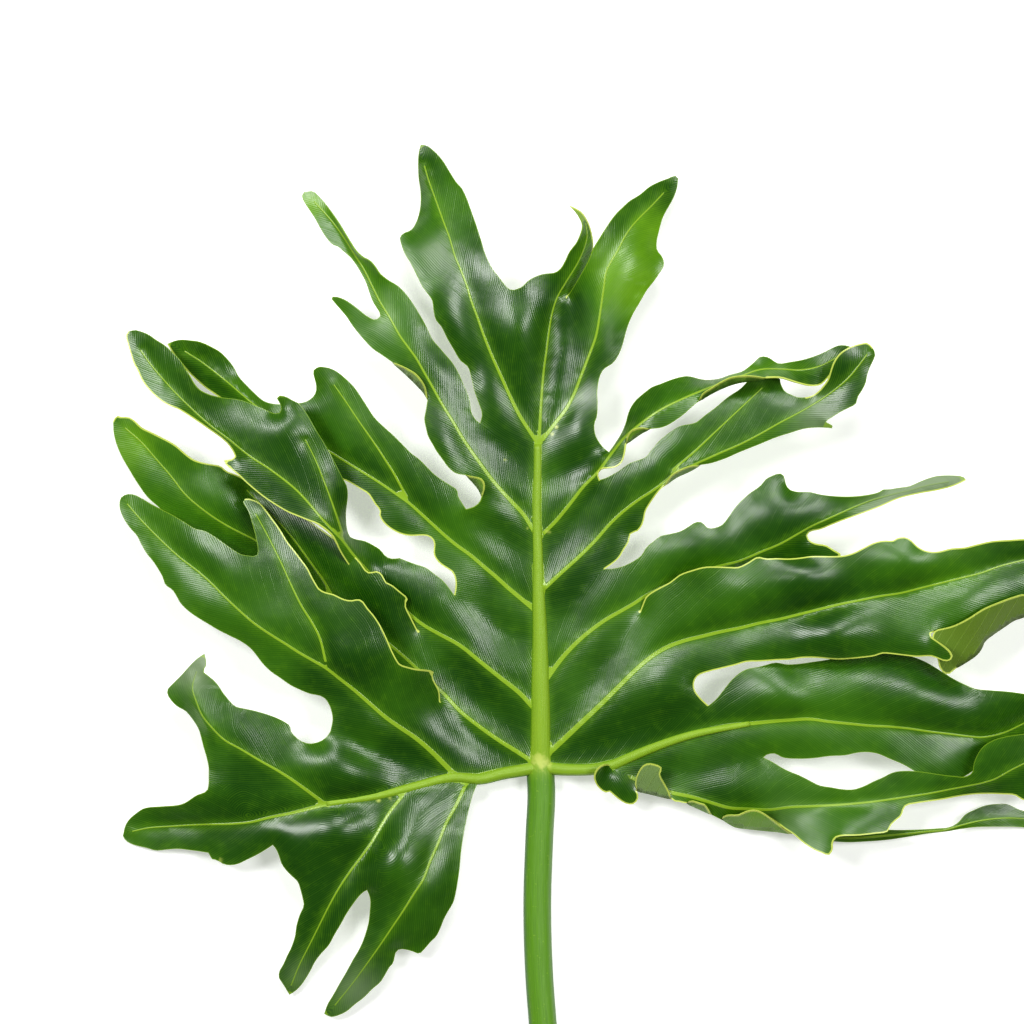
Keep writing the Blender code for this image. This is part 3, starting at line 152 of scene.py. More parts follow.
# Lines between those places: the points passed on the way, then heights spaced evenly along.
CURVES = {
    "m1": ("J", "A", "0.3,10", ""),
    "m2": ("A", "B", "0.3,31 0.2,44", ""),
    "m3": ("B", "C", "-0.5,81 -0.6,89", ""),
    "m4": ("C", "D", "-1.2,121 -1.5,133", ""),
    "m5": ("D", "T", "", ""),
    "b1L": ("J", "Q", "-9,2.3 -18,0.8", "12 12.5"),
    "b2L": ("Q", "F5", "", ""),
    "b1R": ("J", "QR", "9,3 18,2.6 28,3", "12 12.5 13"),
    "b2R": ("QR", "F6", "", ""),
    "v01": ("D", "S01", "-10,155 -18,164 -25,171.5", "20 20.5 22"),
    "v12": ("C", "S12", "-10,111 -20,118 -30,126.5", "17.5 18.5 21"),
    "v23": ("B", "S23", "-12,68 -24,76.5 -34,83.5", "14.5 15 17"),
    "v34": ("A", "S34", "-12,22 -25,32 -36,43 -46,54 -54,64", "11 11 12 13 15"),
    "v45": ("J", "S45", "-10,7.5 -20,12.5 -30,18.5 -40,27", "10.5 10.5 11 13"),
    "v56": ("F5", "S56", "-56,2.5 -72,7 -88,13 -98,18.5", "14 15.5 18 21"),
    "vT3": ("T", "S13", "4,180 7.5,193 9.8,206 11.5,218 12.8,230", "20.5 20 20 20.5 21.5"),
    "vD": ("D", "SR0", "8,149.5 18,152.5 27,157.5", "20 21 23"),
    "vC": ("C", "SR1", "8,114.5 16,126.5 24,139", "18.5 19.5 22"),
    "vB": ("B", "SR2", "8,76 17,87.5 25,96.5", "16 16.5 18.5"),
    "vA": ("A", "SR3", "9,25 18,36.5 28,50 37,62.5 44,73", "13 14 15.5 17.5 19"),
    "vJ": ("J", "SR4", "10,8.8 22,13 36,17.5 52,23 68,29", "11.5 13 15 18 21"),
    "v6R": ("F6", "SR5", "52,5 62,2.5 74,1.2 88,3.3 100,6.3", "15 16 17 18.5 20"),
    "v67": ("W", "S67", "99,-23.6 107,-23.4", "13 13"),
    "tcR": (
        "S13", "tTC",
        "18,244 23,252 26,260 26.7,266 26,271 24,277 21,281.5 18,283.4",
        "22 23 25 29 34 38",
    ),
    "tcL": (
        "tTC", "SC",
        "18,281.5 20,278.5 21.3,275 20.5,271 18,266 14.5,261.5 12.5,257 10,253.2 7,251.5 3,251.2 "
        "-2,249.8 -6,247.5 -9,244.5",
        "41 39 36 33 31 30 31 32",
    ),
    "tlR": (
        "SC", "tTL",
        "-15.5,243.5 -18,246 -21,250 -24,254 -27,260 -29.5,268 -32,276 -35,284.5 -37,290 "
        "-39.5,295 -41.5,297 -45,302.5 -49,309 -52.5,313 -57,316.6",
        "31 29 26 22 18 13 8 4",
    ),
    "tlL": (
        "tTL", "S01",
        "-61,313 -61.3,307 -61,300 -60,293 -60,287 -61,281 -63,276 -65,273.5 -68.5,272 -70.3,270 "
        "-69.5,266 -67.5,261 -65,257 -62,251 -59,245 -56,241 -54,238 -53.2,232 -52,228 -49.5,225 "
        "-46.5,219 -43,213 -40,208 -36,204.5 -34.5,199.5 -33,193 -30.5,186 -29,181",
        "2 5 9 13 16 19 21 22 23 24 25",
    ),
    "trR": (
        "SR0", "tTR",
        "32,164 29.5,167 27.6,171 27.2,176 28.5,180 28.8,186 28.7,193 30,200 32,203.5 36.5,206.5 "
        "39,210 41,214.5 42.5,220 44.3,226 46.5,231 50,237 53.5,243 57,247.5 59.5,251 62,255 "
        "62,258 60.5,261 58.8,263 58.5,267 60,274 61.8,280 64.5,285 67,289.5 69,295",
        "27 27 26 25 24 24 24 23 22 20 17 14",
    ),
    "trL": (
        "tTR", "S13",
        "68,301 65,299.8 60,297.8 55,295.2 50,291 45,287.8 42,285 38,281 34,275.5 30,269 "
        "26.7,263.5 24,257 20,250 17,245",
        "14 18 23 28 32 34 35 34 30",
    ),
    "l1R": (
        "S01", "tL1",
        "-32,178 -34.5,182.5 -35,187 -36.5,192 -38.5,196.5 -41,202 -44,207 -47,210.5 -50,214 "
        "-53.5,218 -56,223 -58,227 -60,230.5 -63,235.5 -67,241 -71,245 -76,248 -80,251 -82,254 "
        "-85,257.5 -88.5,259.3 -92,262.5 -95,267 -98,272 -101,277 -105,283 -110,289.5 -114,293",
        "25 26 27 28 29 30 31 32 30 26 22 18",
    ),
    "l1a": (
        "tL1", "K1",
        "-119.5,290.5 -118,287 -116,284 -113,279.5 -110,274 -107,269.3 -104,266 -101,264.8 "
        "-98.5,262.5 -95,259.5 -92,255.5 -89,250.5 -87,246.5 -85.5,242 -83.5,237 -81,233 "
        "-79.8,230.5 -82,228.2 -85,229 -88,231 -91,233.5 -95,236.5 -99,238.8 -103,239.8 "
        "-104.7,239.3 -103,237 -100,233.5 -97,230 -94,225.5 -90.5,221 -87,217 -83.5,213.5 "
        "-79,210.5",
        "16 19 22 25 27 28 29 28 27 26 27 28",
    ),
    "l1f": ("K1", "K2", "-70,203.5 -65,199 -61,195 -57.5,191", "29 30 30"),
    "l1b": (
        "K2", "K3",
        "-57,183 -57.8,178.5 -57,174 -56,170 -53.5,165.5 -51.5,162 -48.5,158 -46,154.5 "
        "-42,151.3",
        "31 31 30 29",
    ),
    "l1g": ("K3", "K4", "-33,146.5 -30,142.5", "28 28"),
    "l1c": ("K4", "S12", "-30,137 -33,134.5", "27"),
    "l2U": (
        "S12", "tL2s",
        "-39,136.5 -41,140 -41.5,143 -45,145.5 -49,148 -53,151 -57,155 -60.5,158.5 -64.5,161.5 "
        "-68.5,165.5 -73,170 -78,174.5 -83,179.5 -86,184 -89.5,189.5 -93,194.5 -97.5,199 "
        "-102,202.5 -106,204.2",
        "26 27 27 28 28 28 28 29",
    ),
    "l2V": (
        "tL2s", "tL2",
        "-113,203.5 -113.5,201.5 -112.5,197.5 -112,193.5 -113,190.5 -115,188.5 -118,187 "
        "-124,186.3 -131,186 -136,186.7 -139,188 -143,191.5 -147,195.5 -151,200 -153,204 "
        "-156,208 -160,212 -165,214.8 -170,217 -175,217.9 -180,218.4 -184,217.6",
        "26 24 22 21 20 21 22 24 26 27 25 20",
    ),
    "l2L": (
        "tL2", "S23",
        "-184,211.5 -180,206.5 -176,201.8 -172,198 -168,194.5 -163,191 -157,187 -150,182 "
        "-140,174 -128,164.5 -115,155.5 -105,150.3 -98,148 -94,146 -90,143.5 -86,141 -84,138 "
        "-82,135 -80.2,133 -80.5,130.5 -79,127.5 -76,124.5 -72,122 -68,120.5 -64,120 -60,120.2 "
        "-56.5,120 -54,118.5 -53,116 -53.3,112.5 -53,110 -50.5,106.5 -47,104 -44,102 -42.5,98.5 "
        "-42.3,94.5",
        "18 20 21 20 19 19 20 22 23 24 24 24 23 22 22",
    ),
    "l3U": (
        "S23", "tL3",
        "-46,94.5 -49,98 -53,101 -57,104 -62,105.7 -67,107.5 -71,109 -73,108.5 -76,109 "
        "-78,110.5 -80,113 -83,115 -88,117.5 -92,118.3 -95,119.5 -96.5,123 -97,127 -97,132 "
        "-96.5,136 -96,140 -96.5,145 -98,148 -101,154 -104,160 -108,167 -112,173.5 -116,180.5 "
        "-119.7,185.7 -123.5,187.7 -127,189.5 -130,190 -131.3,188.8 -130,186.5 -129,184 "
        "-130,181.5 -133,181.3 -138,183.5 -143,185.5 -148,187.5 -153,188.5 -158,189 -162,189.7 "
        "-165,190.5 -170,193 -173,196.5 -175,200 -177.5,204 -180,208 -184,212 -188,215.5 "
        "-192,218 -196,220.8 -200,222.5 -203,223.2",
        "20 19 18 18 20 26 33 38 40 41 41 42 40 40 40 39 36 33 29 25",
    ),
    "l3L": (
        "tL3", "S34",
        "-207.5,220.5 -206.5,216 -205,211 -203.5,206.5 -201.5,203 -199.5,198.5 -197,194.8 "
        "-194,191.5 -190,188 -186,185.5 -181,183.5 -176,180.5 -170,176.5 -165,173 -160,169.5 "
        "-156,166 -153.5,162.5 -152.3,159.7 -154,158.3 -157.8,157.7 -156.5,155.5 -153,152.5 "
        "-150,150 -147,147 -143,143.5 -138,139.5 -132,135.5 -126,132 -120,129.5 -115,127.5 "
        "-112,126.5 -108,124 -104,120.5 -102,117 -100,112.5 -95,104.5 -88,96 -79,87 -70,79",
        "22 25 28 31 34 36 37 38 39 40 41 41 38 30 22 18 17",
    ),
    "l4U": (
        "S34", "tL4",
        "-64.5,79 -67.3,85.5 -66.2,88.8 -68,90.5 -71,93 -74,95.5 -77,97 -78.7,100.3 -81,102.4 "
        "-86,102 -90,107 -93,110 -97,112.5 -100,117 -104,119.5 -108,122.3 -112,125 -120,131 "
        "-130,138 -140,144 -148,148.5 -152,150.6 -157,152.5 -160,155 -165,156 -170,157 "
        "-174,158.5 -178,161.5 -182,165 -186,167.5 -190,169.5 -195,172 -200,174.5 -203,177.5 "
        "-206,179.5 -210,179.7 -212.5,180.3",
        "22 26 28 29 29 27 24 21 19 19 21 23 23 21 18",
    ),
    "l4L": (
        "tL4", "S45",
        "-214,172 -212.5,166 -210,160 -206,153 -203,148 -200,143.5 -197,139.5 -192,135 "
        "-184,128 -172,120 -160,112 -148,105 -135,97 -122,88 -108,77 -95,66 -82,56 -70,48.5 "
        "-60,42.5",
        "14 14 14 14 13 12 12 12 12 12 13 14 15 16",
    ),
    "l5U": (
        "S45", "tL5s",
        "-50.5,42.5 -52.5,46.5 -53.8,49.8 -53,51.7 -55,52.6 -58,53 -62,53.5 -66,54.5 -70,56 "
        "-72,59 -74,63 -77,70 -80,76 -83,80.5 -86,84 -89,88 -91,88.5 -94,88 -97,88.3 -100,89.5 "
        "-103,91 -107,92 -110,93.5 -112,96.5 -114,100 -116,104 -119,108 -122,112 -126,117 "
        "-130,123.5 -134,129 -137,133 -140,136.5 -143,138 -146,138.8",
        "24 31 35 37 38 38 38 38 37 35 33 31",
    ),
    "l5M": (
        "tL5s", "tL5",
        "-148.5,137 -146,133 -144,127 -142,120 -141,114 -141,111 -142.5,110 -146,110.3 "
        "-149,110.8 -153,113 -158,116.5 -163,120 -168,122.7 -172,123.5 -178,127 -184,130.5 "
        "-190,133.5 -195,136 -200,139 -204,140.8 -207,141 -210,139.6",
        "32 34 35 36 35 33 31 28 25 21 17",
    ),
    "l5L": (
        "tL5", "S56",
        "-211,134 -209,129 -206,124.5 -202,120 -200,116 -197,111 -194,107.5 -191,103 -189,99.5 "
        "-187.5,95.5 -184,93 -182,90 -180,86.5 -176,82.5 -171,79 -166,76 -161,73 -155,70 "
        "-150,67.5 -145,64 -142,60.5 -139,56.5 -135,52.5 -130,49 -125,45.5 -120,43 -115,41 "
        "-110,40 -107.5,38.5 -105.5,35.5 -104.3,32 -103.8,28",
        "16 18 20 22 24 26 27 28 28 28 28 28 28 27 26 25",
    ),
    "l6A": (
        "S56", "tL6a",
        "-107,19.3 -110,17.2 -115,16 -119,17 -122,19 -124.5,22 -125.3,25 -128,27 -132,29 "
        "-136,30.5 -141,32 -145,33 -149,33.8 -152,34.5 -154.5,36.5 -157,39.5 -159,42 "
        "-160.5,44.5 -163,47.5 -166,50 -168.7,52.3 -167,55.5",
        "23 23 23 24 24 25 26 27 27 27",
    ),
    "l6B": (
        "tL6a", "S6ab",
        "-170.5,59.5 -174,56.5 -180,50 -184,46 -186.7,43 -186.7,40.5 -184,36.5 -181,34 "
        "-178,32.5 -176,30.5 -173,26.5 -171,23 -169.5,18 -168.5,14 -167,9 -166,4 -166,0 "
        "-166,-4",
        "24 21 19 19 20 21 22 22",
    ),
    "l6C": (
        "S6ab", "tL6b",
        "-168,-8.6 -172,-10 -175,-12 -178,-14 -182,-15.3 -190,-16 -199,-17 -203,-19.5 "
        "-206.5,-22.5 -208.8,-26 -209.5,-29",
        "19 15 11 7 3",
    ),
    "l6D": (
        "tL6b", "S6bc",
        "-208.5,-33.5 -204.5,-35.5 -198,-37 -193,-38.3 -188,-37.8 -182,-37.3 -175,-38 "
        "-169,-38.8 -166,-39.5 -165.3,-42 -162,-43 -159,-44.7 -156,-45.3 -152,-44.8 -147,-42.5 "
        "-142,-40 -137,-37",
        "3 6 9 11 12 14 16",
    ),
    "l6E": (
        "S6bc", "tL6c",
        "-132.5,-36.8 -131,-40 -129.5,-44.5 -127,-48 -124,-51 -121.5,-53.5 -120,-58 -119,-62 "
        "-118.5,-65.5 -120.5,-70 -122.3,-76 -123,-81 -125,-87 -127,-91 -129,-95.5 -131,-99 "
        "-131.3,-102 -129.5,-105 -127.7,-108",
        "18 17 16 14 12 10 7",
    ),
    "l6F": (
        "tL6c", "S6cd",
        "-123,-109 -120,-106 -117,-101.5 -115,-98 -113,-94 -110,-90 -106,-85.5 -103,-80 "
        "-100,-75 -97,-69.5 -94,-65 -91,-61 -88.7,-58.7",
        "6 8 11 13 15 17 19",
    ),
    "l6G": (
        "S6cd", "tL6d",
        "-85.6,-60 -85,-63 -85.3,-68 -86,-74 -88,-81 -90.5,-87 -94,-93 -97.5,-99.5 -101,-105.5 "
        "-104,-111 -107,-116",
        "19 17 15 13 10 8",
    ),
    "l6H": (
        "tL6d", "Q",
        "-105,-122 -101,-121 -97,-119 -93,-115.5 -89,-112.5 -84,-107.5 -80,-104 -77.5,-100 "
        "-75.5,-96.5 -73.7,-94.5 -73,-91.5 -72,-88.5 -70,-87.5 -66,-88 -63,-89 -60.5,-89.8 "
        "-58,-87.5 -55,-84 -52,-81 -50,-77 -48,-72 -45.5,-67.5 -43.5,-64 -42,-58 -41,-52 "
        "-40.2,-46 -39.5,-38 -38.3,-30 -36.5,-21 -34.5,-13 -32.5,-7",
        "7 9 11 12 13 13 13 14 15 16 17 17 17 16 15",
    ),
    "r1a": ("SR1", "K9", "29,151 30.5,153.5 34,153.8 38,154.5 41,157 42.3,161", "30 32 33"),
    "r1f": ("K9", "K10", "47,169 51,171.7", "35 36"),
    "r1b": ("K10", "K11", "60,174 64,175.5 68,178 72,181 76,184.7", "37 38 39"),
    "r1g": (
        "K11", "K12",
        "85,191 90,193.5 95,195.5 100,196.8 104,197.3 109,198",
        "41 42 43 43",
    ),
    "r1c": (
        "K12", "tR1",
        "120,198.9 125,197.5 130,196 135,195 140,195.5 144,199 148.5,205",
        "40 37 34 31 29 28",
    ),
    "r1U": (
        "tR1", "SR0",
        "155.5,214.5 150,215.5 146,214 140,211 132,208.3 125,207 119,206.3 114,209.3 110,209.6 "
        "106,206 101,202.3 95,200.6 89,198.6 82,198.2 74,200 70,199.5 65,198 60,196 56,194.5 "
        "52,191.5 48,188 45.5,184.5 44,181 43,177 41,172 38,167",
        "27 27 28 30 32 34 35 34 32 30 29 29 29 28 28 28 27",
    ),
    "r2a": (
        "SR2", "K7",
        "37.5,107 40,109.5 42,113 44.5,117 45.5,121 49,122.5 51.5,126 52.3,129 53,132.5 55,136 "
        "57,139 60,143",
        "22 22 22 23 24 26",
    ),
    "r2f": ("K7", "K8", "68,149.3 75,152.5", "30 30"),
    "r2b": (
        "K8", "tR2",
        "85,156.3 92,158.5 100,162 110,166 118,169.3 125,171.5 132,173.6 138,174.2 143,174.1 "
        "146.5,173.9 146,175 142.5,177 146,179.5 150,182 154,184 157.5,186 158.5,189.5 "
        "160.5,192.5 162.5,196.5 163.2,200 165,205 166.5,208 167.3,211",
        "31 31 31 32 33 34 36 38 39 39 38",
    ),
    "r2M": (
        "tR2", "S2m",
        "163.5,216.4 160,216 155,214.5 151,212.3 148.5,210 146.3,206.5 145,203 143.5,198 "
        "141,194.5 139,192.3 136,190.2",
        "39 41 42 41 38 35",
    ),
    "r2U": (
        "S2m", "SR1",
        "129,189.3 126,190.5 122.5,192.3 120.5,196 120,198.6 117,199.8 112,199 107,198.5 "
        "104,197.3 100,193.5 94,189.5 88,184.5 82,180 78,176.8 75,176 70,175 65,172 60,168 "
        "56,163.5 53,159.7 50,158.2 45,156.5 40,153 34,149.5",
        "30 28 27 28 30 31 32 32 31 30 29 28 27",
    ),
    "r3L": (
        "SR3", "tR3",
        "60,87 70,92 82,97.5 95,101.5 109,104.5 122,105.5 134,106.5 144,107.5 150,109 "
        "151,110.6 149.5,111.6 147,113 143,115.4 139,116 136,117 134,119 133.8,121 136,122.4 "
        "140,123.2 145,125.2 150,127.2 160,130.8 170,134.5 180,138.8 190,141.2 200,143 "
        "208,145.2",
        "20 20 21 22 23 24 24 25 26 27 28 28 27 25 22 19 17",
    ),
    "r3U": (
        "tR3", "SR2",
        "212.5,149.6 210,150.2 200,150.2 195,149 190,147 185,144.9 180,144.2 175,143.4 "
        "172,143.2 170,142 165,140.6 158,139.7 150,139.7 140,140.8 135,142 128,142.2 "
        "124.5,143.5 123,146 122,150 120,151.3 117,150.5 113,148.5 110,145 105,141.5 101,138 "
        "97,133.5 94,129 91,125.5 87,124 84,124 82,126 80,127.2 77,126.5 74,124.5 70,122.3 "
        "65,121 60,119.8 57,117.5 53,114 51,110.5 47,107.5 42,105 37,103.7",
        "17 18 20 22 25 28 30 31 31 30 30 30 30 29 28 28 27 27 26 25 24 23",
    ),
    "r4U": (
        "SR3", "tR4",
        "51.5,86 53,89.5 56,92 60,94.3 65,97 70,100.8 76,103 82,104.6 88,104.8 94,104.6 "
        "99,104.6 104,107 108.5,109.6 113,108.8 118,109 124,108.8 130,109.3 135,110 145,110 "
        "151,110.2 156,111.5 161,114 166,116.5 171,117.8 176,117.8 178,119 182,119.5 185,118 "
        "188,115 192,112.8 198,112.2 205,113.8 212,114.3 218,115.8 226,117.5 234,118 242,118.5 "
        "252,118.5 262,117 270,114.5",
        "27 32 36 37 38 38 38 39 40 41 42 42 40 38 36 33 30",
    ),
    "r4a": (
        "SR4", "K5",
        "80.5,38.8 77.5,43 77.2,47 79,50 84,52 92,54 98,55.5 103,57 110,57.3 120,58 125,58.2 "
        "130,59 135,59.2 140,59 145,58.5 150,58.3 156,58.7 162,59.3 167,60 171,61.3 176,61 "
        "182,60.3 188,59.7 195,60 199,58.6 202,57.6 204.5,58.5 205.2,60.5 203.5,63 201,65.3 "
        "197.5,68 195,69.8 194.5,71.2 197,72.2 201,71 206,68 209,63 209.5,58",
        "25 27 29 30 31 32 33 33.5 34 34 35 36 38 45 49 42 37 34",
    ),
    "r4f": (
        "K5", "K6",
        "213,57.3 218,60.8 220.5,64 222,67.3 227,71.3 232,74.7 237,78 241,79.3",
        "34 33 32 31",
    ),
    "r4b": ("K6", "tR4", "252,84 260,91 268,100", "29 27 25"),
    "r5U": (
        "SR4", "tR5",
        "88,38 92,43 96,48 100,51.5 104,53.5 110,54.6 115,56 118,56.6 124,55.7 130,56 137,57 "
        "144,58 152,60 163,62 175,62 185,60 193,57 199,53.5 203,51 207,48.5 213,45.5 218,43.5 "
        "226,42.7 235,42 242,41 252,40 262,39",
        "25 26 26 25 24 23 22 22 22 22 23 24 25 25 24 22",
    ),
    "r5L": (
        "SR5", "tR5",
        "113,10 115,10.8 118,10.9 120,9.8 122,8.9 130,8.4 137,8.7 145,9.8 153,10.2 158,11.3 "
        "163,11.8 169,11 175,8.5 182,5.5 190,1 198,-1.5 206,-3 214,0 222,6 230,12 240,18 "
        "250,22 262,28",
        "22 23 24 24 24 24 23 21 18 16 15 15 16 16",
    ),
    "e0": ("QR", "E1", "36.5,0 36,-5", "16 16"),
    "lo1": (
        "QR", "E1",
        "34,5.6 31.5,5.2 29,3.5 27.4,1 27.1,-1.5 28.3,-4.8 30.5,-7.3 32.7,-8.8",
        "20 22 22 21 19 17 16",
    ),
    "lo2": ("E1", "PA", "38,-11 41,-13.3 44,-14.7 47,-14.6 49,-12.5 49.3,-10.3", "14 13 14 16"),
    "fA": ("PA", "PB", "54,-9 60,-10.5", "17 17"),
    "c1": ("PB", "P1", "67.2,-13 69,-13.4 71,-13.3 72.3,-14.4", "18 18"),
    "fB": ("P1", "P2", "80,-17", "16"),
    "c2": ("P2", "W", "", ""),
    "r6L": (
        "S67", "tR6",
        "119,-24 123,-27 127,-29.5 131,-33 137,-37 141,-38.6 144.5,-39.6 146.3,-37 146.3,-33.5 "
        "148,-30.7 160,-29.7 168,-28.9 174,-27.9 175.5,-25 178,-22.5 181,-20 182,-17 183.5,-15 "
        "188,-14 195,-13 202,-12 210,-10.5 218,-9.5 225,-9.3 232,-9.5 238,-10 242,-12.3 "
        "248,-12 254,-5 262,8",
        "18 24 28 30 30 28 26 24 23 22 21 21 21 21 22 22 22",
    ),
    "r6U": (
        "tR6", "SR5",
        "262,22.5 252,22.3 242,21 233,19.7 227,18 222,15 219,11 217,6 216.3,1.5 213,-0.6 "
        "208,-0.4 200,0.6 192,1.8 186,2.3 180,2.2 176,1.3 172,-0.8 167,-3 162,-5.5 157,-7 "
        "152,-7 146,-6 140,-5 135,-2.5 130,0 125,2 121,4 117,6.5",
        "24 27 30 31 30 28 26 25 25 25 24 24 23 23 22 22 21",
    ),
    "r7a": ("W", "P3", "95,-24.4 98,-26 101,-26.6 108,-27.4 118,-28.4", "13 12 12 11"),
    "r7b": (
        "P3", "tR7",
        "133,-31 140,-32.4 148,-33.6 155,-34 165,-33.6 175,-32.8 185,-31.3 195,-29.7 "
        "205,-28.6 213,-27.2 220,-26.4 230,-26.3 242,-26.6 256,-28",
        "10 9 8 8 8 8 7 7 6 4 2",
    ),
    "r7c": (
        "tR7", "S67",
        "262,-23 252,-20 242,-18 235,-14.9 230,-14.8 224,-15.6 218,-18 214,-20 210,-24.3 "
        "206,-26.4 200,-27 190,-27.6 176,-27.8 160,-27 145,-26 130,-24",
        "2 4 6 7 8 9 9 10 10 11 12",
    ),
    "l1fm": ("K1", "K2", "-71,206 -66,203.7 -62,201.2 -59,197.8 -57,194", "32 34 34 32"),
    "l1gm": ("K3", "K4", "-33,149.8 -29.5,149 -27.6,146.5 -27.6,143", "31 33 31"),
    "r1fm": ("K9", "K10", "43.3,169.7 45.3,172.8 50,174.3", "38 40 39"),
    "r1gm": (
        "K11", "K12",
        "81,191.3 85,193.8 90,197 95,199.3 100,200 106,200",
        "44 47 48 46",
    ),
    "r2fm": ("K7", "K8", "63.8,148.3 66,151 70,153.3 75,155.2", "33 35 35 33"),
    "r4fm": (
        "K5", "K6",
        "203.5,51 200.5,52.5 199,55 198.3,58.5 196.5,64 195.5,69.5 197,73 200.5,74 206,75.5 "
        "213,79 221,84 229,87.3 236,89.8 242,91 246,88",
        "37 40 41 42 43 44 44 43 42 40 36",
    ),
    "fAm": (
        "PA", "PB",
        "47.6,-4 48.2,-0.5 50,3.5 52,5.7 54,6.4 57,6.1 60,5 61.3,3.7 60.2,2 60.2,0.5 62,-3 "
        "64.5,-7.5",
        "21 25 28 29 28 26 23 20",
    ),
    "fBm": (
        "P1", "P2",
        "75,-12.7 77,-12.6 80,-13.6 82.5,-14.3 84.2,-16.3 85.7,-19",
        "19 21 21 19",
    ),
    "r7am": (
        "W", "P3",
        "91.6,-20.9 93.5,-19.8 96,-19.5 99,-19.5 101.5,-18.4 104,-17.4 108,-17 112,-18.6 "
        "118,-23 123,-27",
        "19 23 24 24 23 21 17 13",
    ),
}

# Each lobe is a closed loop of lines; a minus sign walks a line backwards.
PANELS = {
    "top": "vT3 tcR tcL tlR tlL -v01 m5",
    "top_right": "-m5 vD trR trL -vT3",
    "l1": "v01 l1R l1a l1f l1b l1g l1c -v12 m4",
    "l2": "v12 l2U l2V l2L -v23 m3",
    "l3": "v23 l3U l3L -v34 m2",
    "l4": "v34 l4U l4L -v45 m1",
    "l5": "v45 l5U l5M l5L -v56 -b2L -b1L",
    "l6": "v56 l6A l6B l6C l6D l6E l6F l6G l6H b2L",
    "r1": "vC r1a r1f r1b r1g r1c r1U -vD -m4",
    "r2": "vB r2a r2f r2b r2M r2U -vC -m3",
    "r3": "vA r3L r3U -vB -m2",
    "r4": "vJ r4a r4f r4b -r4U -vA -m1",
    "r5": "b1R b2R v6R r5L -r5U -vJ",
    "r6": "-b2R e0 lo2 fA c1 fB c2 v67 r6L r6U -v6R",
    "r7": "r7a r7b r7c -v67",
    "lobule": "-e0 lo1",
}

# Parts of the margin that are folded up and over, so that they show their underside.
FLAPS = {
    "fl1": "-l1f l1fm",
    "fl1g": "-l1g l1gm",
    "fr1": "-r1f r1fm",
    "fr1g": "-r1g r1gm",
    "fr2": "-r2f r2fm",
    "fr4": "-r4f r4fm",
    "fA": "-fA fAm",
    "fB": "-fB fBm",
    "fC": "-r7a r7am",
}

